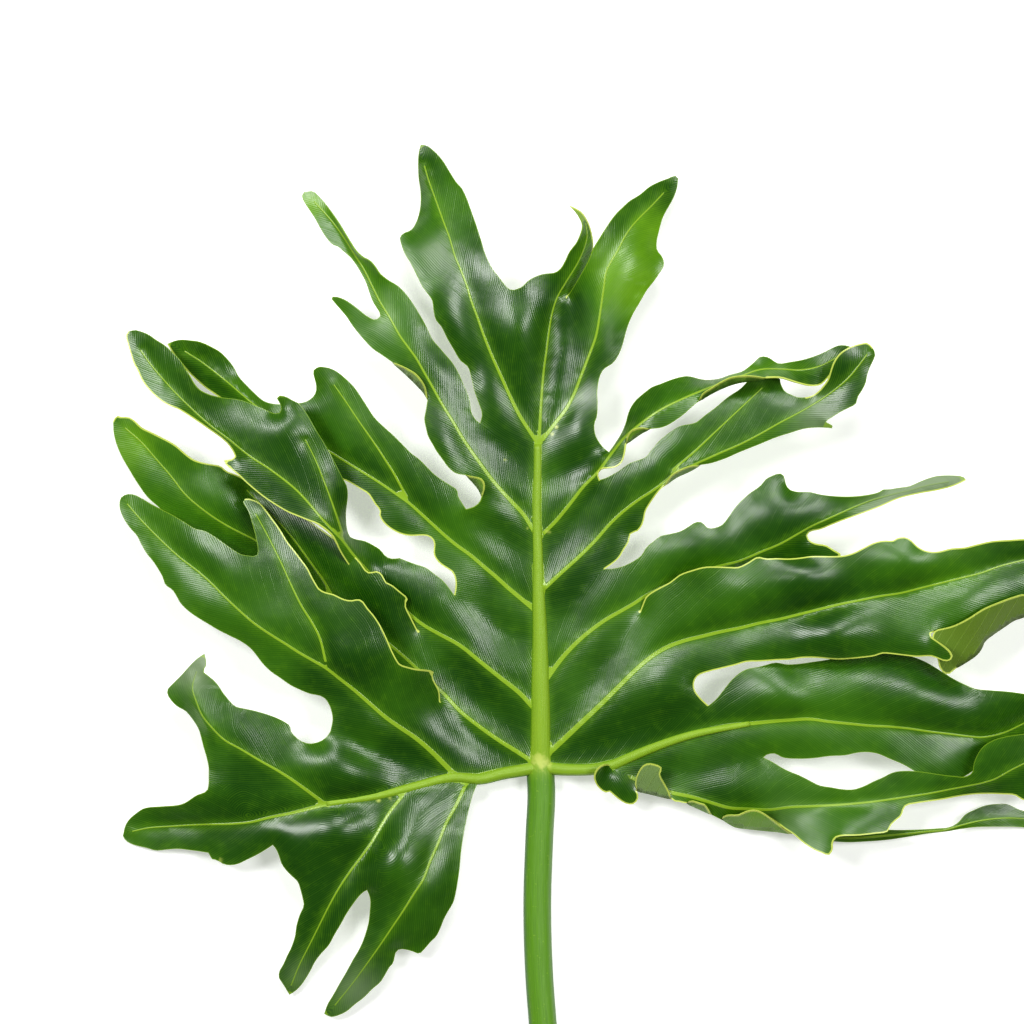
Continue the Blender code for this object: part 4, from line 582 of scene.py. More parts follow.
# Main veins of each lobe: points, heights spaced evenly, half width at start and end.
VEINS = [
    ("top",
     "-3.5,170 -10,180 -15,190 -19.5,200 -24,210 -28,220 -31.5,230 -34.5,238 -36.5,245 "
     "-40,254 -42.5,260 -45.5,270 -48.5,278 -51,285 -53.5,292 -56,299 -58,306",
     "22 24 26 27 27 25 20 13 6", 1.2, 0.35),
    ("top",
     "-0.3,170 0.5,185 1.2,195 2.2,205 3.2,212 4.5,222 6,231 8.5,239 13,247 18,255 "
     "21.8,263 23.6,270 22.8,276",
     "22 23 24 25 25 26 28 32 37", 1.0, 0.3),
    ("top_right",
     "1.5,168.5 8,177 13,183.5 17,191 20.5,200 24,209 28,220 29.5,228 31,238 32,245 33,252 "
     "36,258 39,263 42,269 46,275 50,279.5 56,285.5 62,292",
     "22 22 23 25 27 29 30 31 30 27 22 17", 1.2, 0.35),
    ("l1",
     "-4,124 -8,130.5 -14,137 -20,143.5 -25,149.5 -29,155 -34,162 -39,169.5 -44,178 -49,186 "
     "-54,195 -58,202 -62,209 -66,214.5 -70,220 -75,229 -80,237 -84,245 -88,253 -93,261 "
     "-98,269 -103,276 -108,282 -113,287.5",
     "20 21 23 25 27 29 30 31 31 29 27 24 20 17", 1.3, 0.35),
    ("l2",
     "-4,84 -10,89 -16,94 -22,99.5 -28,104.5 -35,110.5 -42,115.5 -48,120.5 -54,126 -60,131.5 "
     "-65,136 -72,141 -80,146.5 -88,151.5 -101,159.5 -112,166.5 -122,173 -133,179.5 "
     "-144,186.5 -150,191.5 -157,197.5 -164,203 -170,207.5 -178,212.5",
     "17 18 19 21 22 23 24 24 23 22 21 22 24 26 24 19", 1.4, 0.35),
    ("l2",
     "-67,140 -73,151 -78,159 -84,168 -91,178 -97,187 -103,195.5",
     "24 26 27 28 28 29", 0.8, 0.3),
    ("l3",
     "-4,34.5 -10,41 -20,49 -30,57 -40,65 -50,70.5 -58,75 -64.5,80 -72,87.5 -80,95.5 "
     "-88,104.5 -94,111.5 -98,117 -103,122.5 -110,130 -115,136 -120,141.5 -125,146 -135,153.5 "
     "-145,160 -155,168 -165,175.5 -175,184.5 -185,194.5 -195,206 -200,213",
     "14 16 18 19 18 17 18 22 30 37 40 41 41 40 38 35 31 26 22", 1.5, 0.35),
    ("l3",
     "-98.8,121.5 -101.5,130 -105,140 -108,148 -112,158 -117,168",
     "33 38 41 41", 0.7, 0.3),
    ("l4",
     "-5,7.5 -12,12 -20,17 -30,24 -40,32 -47.5,40 -58,50 -70,61 -82,71 -92,80 -104,88 "
     "-125,105 -143,118 -150,121.5 -160,127 -170,134 -178,141 -185,150 -192,158 -200,167 "
     "-208,174",
     "12 13 14 15 16 18 19 19 18 18 19 20 19 18 16", 1.4, 0.35),
    ("l4",
     "-105,91.5 -108,97 -113,104 -118,111 -124,119 -130,126 -138,134 -147,143",
     "20 22 22 21 19 17", 0.8, 0.3),
    ("l5",
     "-46,3.5 -55,12.5 -62,18.5 -70,24 -77,29 -85,36 -93,43 -100,48.5 -107,54 -113,57.5 "
     "-120,61.5 -127,66 -135,71 -143,76.5 -150,82.5 -158,90 -165,97 -172,103 -180,109 "
     "-190,118 -200,128 -207,136",
     "16 19 22 26 29 31 33 34 34 33 31 28 24 20 16", 1.6, 0.35),
    ("l5",
     "-107.3,58 -110,69 -114,77 -119,85 -124,95 -129,106 -136,120 -142,131",
     "33 35 36 36 35 33 32", 0.8, 0.3),
    ("l6",
     "-46,-2 -50,-2.5 -60,-5 -70,-8 -80,-10 -90,-12 -100,-13.3 -107,-14.3",
     "16 17 18 19 20 21", 2.2, 1.4),
    ("l6",
     "-110,-12.5 -118,-6.5 -125,-1.5 -132,3 -140,7.5 -150,13.5 -158,18 -165,25 -169,30 "
     "-172,37 -174,44 -172,52",
     "22 24 26 27 27 26 25", 1.1, 0.35),
    ("l6",
     "-110,-15.2 -115,-16.5 -125,-19 -135,-21 -145,-23.5 -155,-24.5 -170,-25 -185,-26 "
     "-197,-27 -205,-28.7",
     "21 20 19 17 14 10 6 3", 1.1, 0.35),
    ("l6",
     "-69.5,-11 -75,-18 -80,-26 -84,-33 -89,-40 -95,-48 -101,-57 -106,-66 -111,-76 -116,-86 "
     "-121,-96 -125,-106",
     "19 20 20 19 18 16 13 10 7", 1.0, 0.3),
    ("l6",
     "-38,-6.5 -42,-15 -47,-24 -51,-34 -55,-43 -58.5,-52 -63,-59 -68,-67 -74,-76 -80,-85 "
     "-87,-95 -95,-106 -103,-116",
     "16 18 20 22 24 25 24 21 18 14 10 7", 1.1, 0.3),
    ("r1",
     "3,122.5 8,127.5 15,136 22,145 28,151 33,157.5 37,163 41.5,168.5 50,176 60,183 70,188 "
     "80,192.3 90,196.2 100,199.8 110,203.2 120,203.5 130,203 140,205 148,209",
     "20 22 24 27 30 33 35 37 38 39 39 38 36 33 30 28", 1.2, 0.35),
    ("r2",
     "2,93.5 10,101 20,110 28,118 35,126 42,132.5 50,138.5 57,143 64,148.5 68,152 75,154.8 "
     "90,161.5 100,165.8 110,171 120,176.7 130,182 140,188 148,193.7 154,199 159,205 "
     "163,210.5",
     "20 21 22 24 26 28 31 32 32 32 33 35 38 40", 1.3, 0.35),
    ("r2",
     "67,153.5 77,162 86,170.5 95,179 103,186.5 111,194",
     "29 31 32 32 31", 0.7, 0.3),
    ("r3",
     "3,47.5 9,56 14,62 20,68 26,73 33,78 40,82 47,86 53,90 60,93.5 70,98 80,102 90,105 "
     "100,107.5 110,111.8 120,116 128,120.5 136,125 145,129 155,133.5 165,137.5 175,140.5 "
     "185,142.8 195,145.5 205,147.2",
     "15 16 18 20 21 22 23 25 28 30 31 31 29 26 23 20 18", 1.5, 0.35),
    ("r4",
     "4,10.5 10,16 20,25.5 30,35 40,45 48,53 55,59 63,64 72,67.5 80,69.5 90,72 100,74 "
     "110,76.5 120,78.5 130,81 140,83.5 150,86 160,88 170,90 180,91.5 190,94 200,96.5 210,99 "
     "220,101.5 230,105 242,108 254,110.5 266,111.8",
     "12 14 17 20 23 25 27 29 31 32 33 34 35 36 36 35 33 30 27", 1.8, 0.4),
    ("r5",
     "47,9.6 55,13 65,17 75,20 85,23 95,25 105,26 115,27 125,27.8 135,28.3 145,27 155,26 "
     "165,25 175,24.5 185,23.5 195,22 205,20.8 215,19.5 222,19 232,21 245,27 258,32.5",
     "15 17 19 21 23 24 25 26 26 25 24 22 19 17 17 18", 1.8, 0.4),
    ("r6",
     "49,-2.5 58,-6.5 67,-9 75,-10.6 85,-13.5 95,-16.4 105,-17 115,-17.3 125,-16 135,-15.5 "
     "145,-15 155,-14.3 165,-13.3 175,-12 185,-10.5 195,-9 205,-7 215,-5 222,-3.5 228,-1.5 "
     "236,3 242,6 252,11.5 262,17.5",
     "16 17 18 18 18 19 20 21 22 23 23 23 24 26 27 27 25", 1.3, 0.35),
    ("r7",
     "133,-29.5 145,-31.5 155,-31.9 165,-31.4 175,-30.6 185,-29.7 195,-28.6 203,-28 212,-25.5 "
     "220,-23.5 232,-22 245,-22.5 257,-25",
     "10 9 9 9 9 8 7 5 3", 0.9, 0.3),
]

# The stalk lies flat and keeps its thickness: x, y of its centre line.
STALK_LINE = [
    (10, STALK_CUT_Y), (5, -180), (1.3, -124), (-0.15, -105), (-1.35, -64), (-0.3, -31),
    (0.65, -7), (0.3, 0), (0.3, 8),
]

# Stalk with midrib and the two thick ribs at the foot of the blade: x, y, height, radius.
RODS = {
    "midrib": [(x, y, STALK_RADIUS, STALK_RADIUS) for x, y in STALK_LINE] + [
        (0.4, 15, 9.0, 5.8), (0.4, 30, 10.9, 5.4), (0.2, 50, 13.0, 5.0), (0, 70, 15.1, 4.1),
        (-0.6, 90, 16.7, 3.5), (-1, 110, 18.3, 2.75), (-1.5, 130, 19.3, 2.5),
        (-1.2, 150, 20.3, 2.25), (-1, 166, 21.3, 2.0),
    ],
    "left_rib": [
        (0, 4, 9.0, 3.4), (-9, 2.3, 10.5, 3.3), (-18, 0.8, 11.2, 3.2), (-30, -2, 11.95, 3.0),
        (-43, -1.2, 14.0, 2.8), (-60, -5, 16.2, 2.5), (-80, -10, 18.0, 2.2),
        (-107, -14.3, 20.4, 1.8),
    ],
    "right_rib": [
        (0, 4, 9.0, 3.4), (9, 3, 10.6, 3.3), (18, 2.6, 11.3, 3.1), (28, 3, 11.9, 3.0),
        (36, 4.8, 13.0, 2.9), (44, 8.3, 14.0, 2.75), (55, 13, 15.3, 2.6), (75, 20, 18.9, 2.2),
        (105, 26, 23.2, 1.5),
    ],
}

# Folded parts whose underside isn't pale grey-green: share of olive, share of fresh green.
FLAP_TONES = {
    "fr4": (1.0, 0.0), "fC": (0.2, 0.8), "fr1": (0.0, 0.8), "fr1g": (0.2, 0.6),
    "fr2": (0.0, 0.8), "fl1g": (0.0, 0.6), "fB": (0.0, 0.8),
}

# Ribs that lie on an outline, with the half width of the pale band beside each.
RIB_CURVES = {
    "m1": 5.0, "m2": 4.0, "m3": 3.0, "m4": 2.3, "m5": 2.0,
    "b1L": 3.0, "b2L": 2.6, "b1R": 2.9, "b2R": 2.5,
}

# Lines that only one lobe or flap uses: the free edges of the blade.
loops = " ".join([*PANELS.values(), *FLAPS.values()])
used_names = [word.lstrip("-") for word in loops.split()]
FREE_CURVES = {name for name in CURVES if used_names.count(name) == 1}

# Free edges that show as a pale line, because they stand in front of another lobe.
PALE_EDGES = set(
    "l1fm l1gm r1fm r1gm r2fm r4fm fAm fBm r7am l3L l4U l5U r4U r4a r3L r6L r1a r2a tcR "
    "lo1 lo2 c1 v67 r1c r2M l2L".split()
)

# Patches of deeper (-) or fresher (+) green: x, y, radius, strength. The deeper patches are
# painted shade, laid mostly in the valleys between lobes and under overlapping lobes; the fresher
# ones are the leaf's own paler green, such as its yellowish lobe tips.
SHADE_AND_TONE_SPOTS = [
    (22, 108, 24, -1.0), (14, 208, 9, -0.7), (13, 234, 9, -1.3), (27, 150, 15, -0.5),
    (-18, 160, 15, -0.5), (-32, 55, 15, -0.6), (-72, 88, 18, -0.8), (-115, 133, 20, -0.6),
    (60, 132, 14, -0.4), (112, 128, 16, -0.4), (92, -4, 18, -0.5), (-105, 50, 15, -0.5),
    (30, 60, 16, -0.4), (150, 95, 18, -0.3), (90, 50, 14, -0.5), (-60, 15, 16, -0.4),
    (46, 245, 20, 1.1), (57, 275, 14, 0.8), (-46, 285, 16, 0.4), (-78, 235, 16, 0.5),
    (-192, 122, 20, 0.4), (-205, 165, 16, 0.9), (-116, 286, 11, 1.0), (-60, -35, 25, 0.3),
    (205, 100, 30, 0.4), (8, 190, 9, 0.3), (-195, 205, 20, 0.3), (240, 60, 26, 0.3),
    (-140, 195, 18, 0.3), (28, 262, 14, 0.4), (-90, 105, 14, 0.2), (130, 45, 20, 0.3),
]

# Places where the blade swells and catches the light: x, y, radius.
SWELLS = [
    (-42, 225, 12), (-8, 216, 10), (-50, 170, 9), (-68, 150, 11), (-29, 131, 7),
    (-77, 127, 9), (38, 149, 8), (72, 168, 10), (60, 113, 9), (39, 115, 7), (-162, 115, 12),
    (-97, 100, 9), (-97, 58, 10), (-107, 14, 12), (-90, -2, 8), (-72, -40, 12),
    (-100, -28, 10), (125, 133, 10), (130, 102, 10), (182, 105, 12), (145, 68, 12),
    (200, 46, 12), (40, 258, 10), (100, 204, 8), (-32, 195, 8), (20, 178, 7),
    (-60, 105, 9), (118, 40, 12), (60, 30, 10), (-150, 140, 10), (-125, 175, 9),
]
SWELL_LOAD = 0.08

# Patches where the upper face is dull and greyish: x, y, radius, strength.
DULL_SPOTS = [
    (211, 148, 8, 0.8), (200, 146, 9, 1.0), (188, 142, 9, 1.0), (176, 137, 9, 0.9),
    (164, 132, 8, 0.5), (140, 176, 12, 0.6), (-174, 52, 10, 0.9), (-166, 60, 6, 0.9),
    (-92, -108, 13, 0.6), (-120, -102, 10, 0.4), (124, -26, 12, 0.3), (-52, 262, 9, 0.3),
]

# Small pale scars and nicks: x, y, radius.
MARKS = [
    (4, 122, 1.7), (5.5, 171, 1.6), (8, 174.5, 1.4), (-81, -12, 2.0), (-17, 158, 1.3),
    (-160, -43, 1.8), (-6, 124.5, 1.3), (-75, -11.5, 1.5),
]


def parse_points(text):
    """The x,y pairs of a written line as an array."""
    pairs = [pair.split(",") for pair in text.split()]
    return np.array([(float(x), float(y)) for x, y in pairs]).reshape(-1, 2)


def parse_heights(text):
    """The numbers of a written list."""
    return [float(value) for value in text.split()]


def spline(knots, values, where):
    """Smooth line through the values at the knots, read at the places in where."""
    gaps = np.diff(knots)
    slopes = np.diff(values, axis=0) / gaps[:, None]
    tangents = np.empty_like(values)
    tangents[0] = slopes[0]
    tangents[-1] = slopes[-1]
    if len(values) > 2:
        weight = (gaps[:-1] / (gaps[:-1] + gaps[1:]))[:, None]
        tangents[1:-1] = slopes[:-1] * (1.0 - weight) + slopes[1:] * weight
    index = np.clip(np.searchsorted(knots, where, side="right") - 1, 0, len(gaps) - 1)
    gap = gaps[index][:, None]
    t = (where[:, None] - knots[index][:, None]) / gap
    rise = values[index + 1] - values[index]
    ease = t * t * (3.0 - 2.0 * t)
    start = gap * tangents[index] * t * (1.0 - t) ** 2
    finish = gap * tangents[index + 1] * t * t * (t - 1.0)
    return values[index] + rise * ease + start + finish


def even_line(points, heights, step):
    """A smooth line through the points in even steps, heights spread evenly along it."""
    spans = np.linalg.norm(np.diff(points, axis=0), axis=1)
    knots = np.concatenate([[0.0], np.cumsum(np.sqrt(spans))])
    places = [
        np.linspace(a, b, SPLINE_PIECES, endpoint=False) for a, b in zip(knots, knots[1:])
    ]
    flat = spline(knots, points, np.concatenate(places + [knots[-1:]]))
    lengths = np.linalg.norm(np.diff(flat, axis=0), axis=1)
    arc = np.concatenate([[0.0], np.cumsum(lengths)])
    count = max(2, round(arc[-1] / step) + 1)
    even = np.linspace(0.0, arc[-1], count)
    levels = np.array(heights)[:, None]
    z = spline(np.linspace(0.0, arc[-1], len(levels)), levels, even)
    x = np.interp(even, arc, flat[:, 0])
    y = np.interp(even, arc, flat[:, 1])
    return np.column_stack([x, y, z[:, 0]])


def inside_outline(points, outline):
    """True for the points that lie within the outline."""
    x, y = points[:, 0], points[:, 1]
    result = np.zeros(len(points), dtype=bool)
    for (x0, y0), (x1, y1) in zip(outline, np.roll(outline, -1, axis=0)):
        if y0 == y1:
            continue
        crosses = (y0 > y) != (y1 > y)
        result ^= crosses & (x < (x1 - x0) * (y - y0) / (y1 - y0) + x0)
    return result


def nearest_on_line(points, line):
    """Distance from each point to a line, and how far along the line that place is."""
    nearest = np.full(len(points), VERY_FAR)
    position = np.zeros(len(points))
    run = 0.0
    for start, end in zip(line[:-1], line[1:]):
        chord = end - start
        length = float(np.linalg.norm(chord))
        offset = points - start
        along = np.clip(offset @ chord / max(length ** 2, 1e-12), 0.0, 1.0)
        away = np.linalg.norm(offset - along[:, None] * chord, axis=1)
        closer = away < nearest
        nearest[closer] = away[closer]
        position[closer] = run + along[closer] * length
        run += length
    return nearest, position


def lengthened(line):
    """The line carried on straight at both ends."""
    before = line[0] - line[3]
    after = line[-1] - line[-4]
    first = line[0] + before * STRAND_REACH / np.linalg.norm(before)
    last = line[-1] + after * STRAND_REACH / np.linalg.norm(after)
    return np.vstack([first, line, last])


def fill_points(outline, lines):
    """A staggered grid of points inside the outline, clear of it and of the veins."""
    low = outline.min(axis=0)
    high = outline.max(axis=0)
    row_height = FILL_SPACING * math.sqrt(3.0) / 2.0
    rows = []
    for row in range(math.floor(low[1] / row_height), math.ceil(high[1] / row_height) + 1):
        first = math.floor(low[0] / FILL_SPACING)
        columns = np.arange(first, math.ceil(high[0] / FILL_SPACING) + 1)
        x = (columns + 0.5 * (row % 2)) * FILL_SPACING
        rows.append(np.column_stack([x, np.full(len(x), row * row_height)]))
    grid = np.vstack(rows)
    grid = grid[inside_outline(grid, outline)]
    closed = np.vstack([outline, outline[:1]])
    for line in [closed] + lines:
        if len(grid):
            grid = grid[nearest_on_line(grid, line)[0] > FILL_CLEARANCE]
    return grid


class Sheet:
    """The upper face of the blade with what its colours are worked out from."""

    def __init__(self):
        self.points = []
        self.fixed = []
        self.relief = {}
        self.triangles = []
        self.strands = []
        self.node_index = {}
        self.curve_index = {}
        self.vein_gap = {}
        self.margin_gap = {}
        self.pale_gap = {}
        self.flap_tone = {}
        self.valleys = []

    def add(self, point, fixed):
        self.points.append(tuple(float(value) for value in point))
        self.fixed.append(fixed)
        return len(self.points) - 1

    def add_outlines(self):
        for name, place in NODES.items():
            self.node_index[name] = self.add(place, True)
        for name, (start, end, inner, heights) in CURVES.items():
            first = np.array(NODES[start], dtype=float)
            last = np.array(NODES[end], dtype=float)
            flat = np.vstack([first[:2], parse_points(inner), last[:2]])
            levels = [first[2]] + parse_heights(heights) + [last[2]]
            line = even_line(flat, levels, LINE_STEP)
            middle = [self.add(point, True) for point in line[1:-1]]
            self.curve_index[name] = [self.node_index[start]] + middle + [self.node_index[end]]
            if name.startswith("v"):
                self.valleys += middle

    def flat(self, indices):
        return np.array([self.points[index][:2] for index in indices])

    def loop(self, words):
        """Indices round a closed chain of lines, each corner once."""
        ring = []
        for word in words:
            chain = self.curve_index[word.lstrip("-")]
            if word.startswith("-"):
                chain = chain[::-1]
            ring += chain[:-1]
        return ring

    def add_vein(self, inner, heights, start_width, end_width):
        """A vein inside a lobe: its indices and its half width at each."""
        line = even_line(parse_points(inner), parse_heights(heights), LINE_STEP)
        chain = [self.add(point, True) for point in line]
        share = np.linspace(1.0, 0.0, len(chain)) ** VEIN_TAPER
        widths = VEIN_SLIMNESS * (end_width + (start_width - end_width) * share)
        self.relief.update(zip(chain, VEIN_RELIEF * widths))
        return chain, widths

    def keep_least(self, store, indices, values):
        for index, value in zip(indices, values):
            store[index] = min(store.get(index, VERY_FAR), float(value))

    def fill(self, name, words, flipped):
        """Fill a loop with small triangles that also follow its veins."""
        ring = self.loop(words)
        if flipped:
            ring.reverse()
        own_veins = [vein for vein in VEINS if vein[0] == name]
        veins = [self.add_vein(*vein[1:]) for vein in own_veins]
        lines = [self.flat(chain) for chain, _ in veins]
        outline = self.flat(ring)
        extra = [self.add((x, y, 0.0), False) for x, y in fill_points(outline, lines)]
        order = ring + [index for chain, _ in veins for index in chain] + extra
        place = {index: position for position, index in enumerate(order)}
        edges = [(place[a], place[b]) for chain, _ in veins for a, b in zip(chain, chain[1:])]
        flat = self.flat(order)
        face = [place[index] for index in ring]
        result = delaunay_2d_cdt([tuple(p) for p in flat], edges, [face], 1, MERGE_DISTANCE)
        if any(not old for old in result[3]):
            spots = [tuple(result[0][i]) for i, old in enumerate(result[3]) if not old]
            raise ValueError(f"{name}: lines cross near {spots[:4]}")
        back = np.array([old[0] for old in result[3]])
        triangles = back[np.array(result[2])]
        self.note_veins(order, flat, lines, veins, words)
        self.note_margin(order, flat, words)
        main = [line for line, vein in zip(lines, own_veins) if vein[3] >= MAIN_VEIN]
        self.strands.append(self.strand_values(flat, main, triangles, flipped))
        if flipped:
            triangles = triangles[:, ::-1]
        self.triangles.append(np.array(order)[triangles])
        if name in FLAP_TONES:
            self.flap_tone.update(dict.fromkeys(order, FLAP_TONES[name]))

    def note_veins(self, order, flat, lines, veins, words):
        """How far each point lies outside the edge of the nearest vein."""
        gap = np.full(len(flat), NO_LINE_GAP)
        for line, (_, widths) in zip(lines, veins):
            first = line[0] - line[1]
            is_main = widths[0] >= VEIN_SLIMNESS * MAIN_VEIN
            reach = VEIN_ROOT if is_main else BRANCH_ROOT
            root = line[0] + first * reach / np.linalg.norm(first)
            away, run = nearest_on_line(flat, np.vstack([root, line]))
            half = np.interp(run - reach, np.arange(len(widths)) * LINE_STEP, widths)
            gap = np.minimum(gap, away - half)
        for word in words:
            name = word.lstrip("-")
            if name in RIB_CURVES:
                away, _ = nearest_on_line(flat, self.flat(self.curve_index[name]))
                gap = np.minimum(gap, away - RIB_CURVES[name])
        self.keep_least(self.vein_gap, order, gap)

    def note_margin(self, order, flat, words):
        """How far each point lies from the free edge of the blade."""
        gap = np.full(len(flat), NO_LINE_GAP)
        pale = np.full(len(flat), NO_LINE_GAP)
        for word in words:
            name = word.lstrip("-")
            if name in FREE_CURVES:
                away, _ = nearest_on_line(flat, self.flat(self.curve_index[name]))
                gap = np.minimum(gap, away)
                if name in PALE_EDGES:
                    pale = np.minimum(pale, away)
        self.keep_least(self.margin_gap, order, gap)
        self.keep_least(self.pale_gap, order, pale)

    def strand_values(self, flat, lines, triangles, flipped):
        """For each corner of each triangle, place along and away from its face's vein."""
        if not lines:
            values = flat[:, ::-1][triangles]
        else:
            found = [nearest_on_line(flat, lengthened(line)) for line in lines]
            away = np.stack([pair[0] for pair in found])
            shifted = [pair[1] + STRAND_OFFSET * place for place, pair in enumerate(found)]
            run = np.stack(shifted)
            best = np.argmin(away[:, triangles].sum(axis=2), axis=0)
            values = np.stack([run[best[:, None], triangles], away[best[:, None], triangles]], 2)
        return values[:, ::-1] if flipped else values


def ripple(along, across, shape):
    """A wave along one axis that sways with the other."""
    pitch, sway, sway_pitch = shape
    return np.sin(along / pitch + sway * np.sin(across / sway_pitch))


def relax(points, fixed, valleys, triangles):
    """Heights of the free points, drawn up gently between the fixed ones."""
    pairs = np.vstack([triangles[:, [0, 1]], triangles[:, [1, 2]], triangles[:, [2, 0]]])
    pairs = np.unique(np.sort(pairs, axis=1), axis=0)
    both = np.vstack([pairs, pairs[:, ::-1]])
    count = np.maximum(np.bincount(both[:, 0], minlength=len(points)), 1).astype(float)
    free = ~np.array(fixed)
    z = points[:, 2].copy()
    z[free] = START_HEIGHT
    reach = np.linalg.norm(points[both[:, 0], :2] - points[both[:, 1], :2], axis=1)
    square = np.bincount(both[:, 0], reach ** 2, minlength=len(points)) / count
    x, y = points[free, 0], points[free, 1]
    sway = ripple(x, y, RIPPLE_X) * ripple(y, x, RIPPLE_Y)
    push = BULGE * (1.0 + BULGE_SWAY * sway)
    for at_x, at_y, radius in SWELLS:
        push += SWELL_LOAD * np.exp(-((x - at_x) ** 2 + (y - at_y) ** 2) / radius ** 2)
    lift = push * square[free] / 4.0
    for _ in range(RELAX_ROUNDS):
        mean = np.bincount(both[:, 0], z[both[:, 1]], minlength=len(points)) / count
        z[free] = mean[free] + lift
    free[valleys] = True
    for _ in range(SOFTEN_ROUNDS):
        mean = np.bincount(both[:, 0], z[both[:, 1]], minlength=len(points)) / count
        z[free] = 0.5 * (z[free] + mean[free])
    return z


def new_mesh(name, vertices, faces):
    """A smooth mesh object, turned from millimetres into metres."""
    mesh = bpy.data.meshes.new(name)
    mesh.from_pydata([tuple(vertex) for vertex in vertices * MM], [], faces)
    mesh.shade_smooth()
    piece = bpy.data.objects.new(name, mesh)
    bpy.context.scene.collection.objects.link(piece)
    return piece


def point_values(piece, name, values):
    """Store one number for each vertex."""
    layer = piece.data.attributes.new(name, "FLOAT", "POINT")
    layer.data.foreach_set("value", np.asarray(values, dtype=np.float32))


def keep_rim_crisp(mesh):
    """Mark the free edges sharp, so that the shading doesn't roll over them."""
    uses = Counter(key for face in mesh.polygons for key in face.edge_keys)
    layer = mesh.attributes.new("sharp_edge", "BOOLEAN", "EDGE")
    layer.data.foreach_set("value", [uses[edge.key] == 1 for edge in mesh.edges])


def spotted(points, spots):
    """Sum of soft round patches at each point."""
    total = np.zeros(len(points))
    for x, y, radius, strength in spots:
        square = (points[:, 0] - x) ** 2 + (points[:, 1] - y) ** 2
        total += strength * np.exp(-square / radius ** 2)
    return total


def blade_piece():
    """The whole blade as one thin waved sheet with thickness."""
    sheet = Sheet()
    sheet.add_outlines()
    for name, text in PANELS.items():
        sheet.fill(name, text.split(), False)
    for name, text in FLAPS.items():
        sheet.fill(name, text.split(), True)
    points = np.array(sheet.points)
    triangles = np.vstack(sheet.triangles)
    points[:, 2] = relax(points, sheet.fixed, sheet.valleys, triangles)
    for index, height in sheet.relief.items():
        points[index, 2] += height
    points[:, 2] = np.maximum(points[:, 2], LOWEST_TOP)
    piece = new_mesh("blade", points, triangles.tolist())
    keep_rim_crisp(piece.data)
    order = range(len(points))
    gaps = {
        "vein_gap": sheet.vein_gap, "margin_gap": sheet.margin_gap,
        "pale_gap": sheet.pale_gap,
    }
    for name, store in gaps.items():
        point_values(piece, name, [store.get(index, NO_LINE_GAP) for index in order])
    for number, name in enumerate(("olive", "fresh")):
        tones = [sheet.flap_tone.get(index, (0.0, 0.0))[number] for index in order]
        point_values(piece, name, tones)
    # Spot patches: the deeper ones are painted shade, the fresher ones the leaf's own paler
    # green.
    point_values(piece, "shade_and_tone", spotted(points, SHADE_AND_TONE_SPOTS))
    point_values(piece, "dull", np.minimum(spotted(points, DULL_SPOTS), 1.0))
    point_values(piece, "mark", spotted(points, [(*mark, 1.0) for mark in MARKS]))
    strands = np.vstack(sheet.strands).reshape(-1, 2)
    layer = piece.data.attributes.new("strand", "FLOAT_VECTOR", "CORNER")
    padded = np.column_stack([strands, np.zeros(len(strands))]).astype(np.float32)
    layer.data.foreach_set("vector", padded.ravel())
    thicken = piece.modifiers.new("thickness", "SOLIDIFY")
    thicken.thickness = BLADE_THICK * MM
    thicken.offset = -1.0
    thicken.material_offset = 1
    thicken.material_offset_rim = 2
    return piece


def rod_piece(name, path):
    """A tapering fleshy rib or stalk with a flat lowest side, closed at both ends."""
    values = np.array(path, dtype=float)
    steps = np.linalg.norm(np.diff(values[:, :2], axis=0), axis=1)
    knots = np.concatenate([[0.0], np.cumsum(steps)])
    where = np.linspace(0.0, knots[-1], max(2, round(knots[-1] / ROD_STEP)))
    flat = spline(knots, values[:, :2], where)
    centres = np.column_stack([flat, np.interp(where, knots, values[:, 2])])
    radius = np.interp(where, knots, values[:, 3])
    along = np.gradient(centres, where, axis=0)
    along /= np.linalg.norm(along, axis=1)[:, None]
    side = np.cross(along, (0.0, 0.0, 1.0))
    side /= np.linalg.norm(side, axis=1)[:, None]
    up = np.cross(side, along)
    angles = 2.0 * math.pi * np.arange(ROD_SIDES) / ROD_SIDES
    ridge = 1.0 + ROD_RIDGE * np.cos(7.0 * angles + 0.6)
    vertices = []
    for ring, centre in enumerate(centres):
        reach = radius[ring] * ridge
        offsets = np.outer(np.cos(angles) * reach, side[ring])
        offsets += np.outer(np.sin(angles) * reach, up[ring])
        vertices.append(centre + offsets)
    vertices = np.vstack(vertices)
    vertices[:, 2] = np.maximum(vertices[:, 2], ROD_LOWEST)
    faces = [list(range(ROD_SIDES))[::-1]]
    for ring in range(len(centres) - 1):
        for corner in range(ROD_SIDES):
            a = ring * ROD_SIDES + corner
            b = ring * ROD_SIDES + (corner + 1) % ROD_SIDES
            faces.append([a, b, b + ROD_SIDES, a + ROD_SIDES])
    last = (len(centres) - 1) * ROD_SIDES
    faces.append([last + corner for corner in range(ROD_SIDES)])
    piece = new_mesh(name, vertices, faces)
    point_values(piece, "run", np.repeat(where, ROD_SIDES))
    point_values(piece, "sideways", np.tile(np.cos(angles), len(centres)))
    point_values(piece, "turn", np.tile(np.arange(ROD_SIDES) / ROD_SIDES, len(centres)))
    return piece


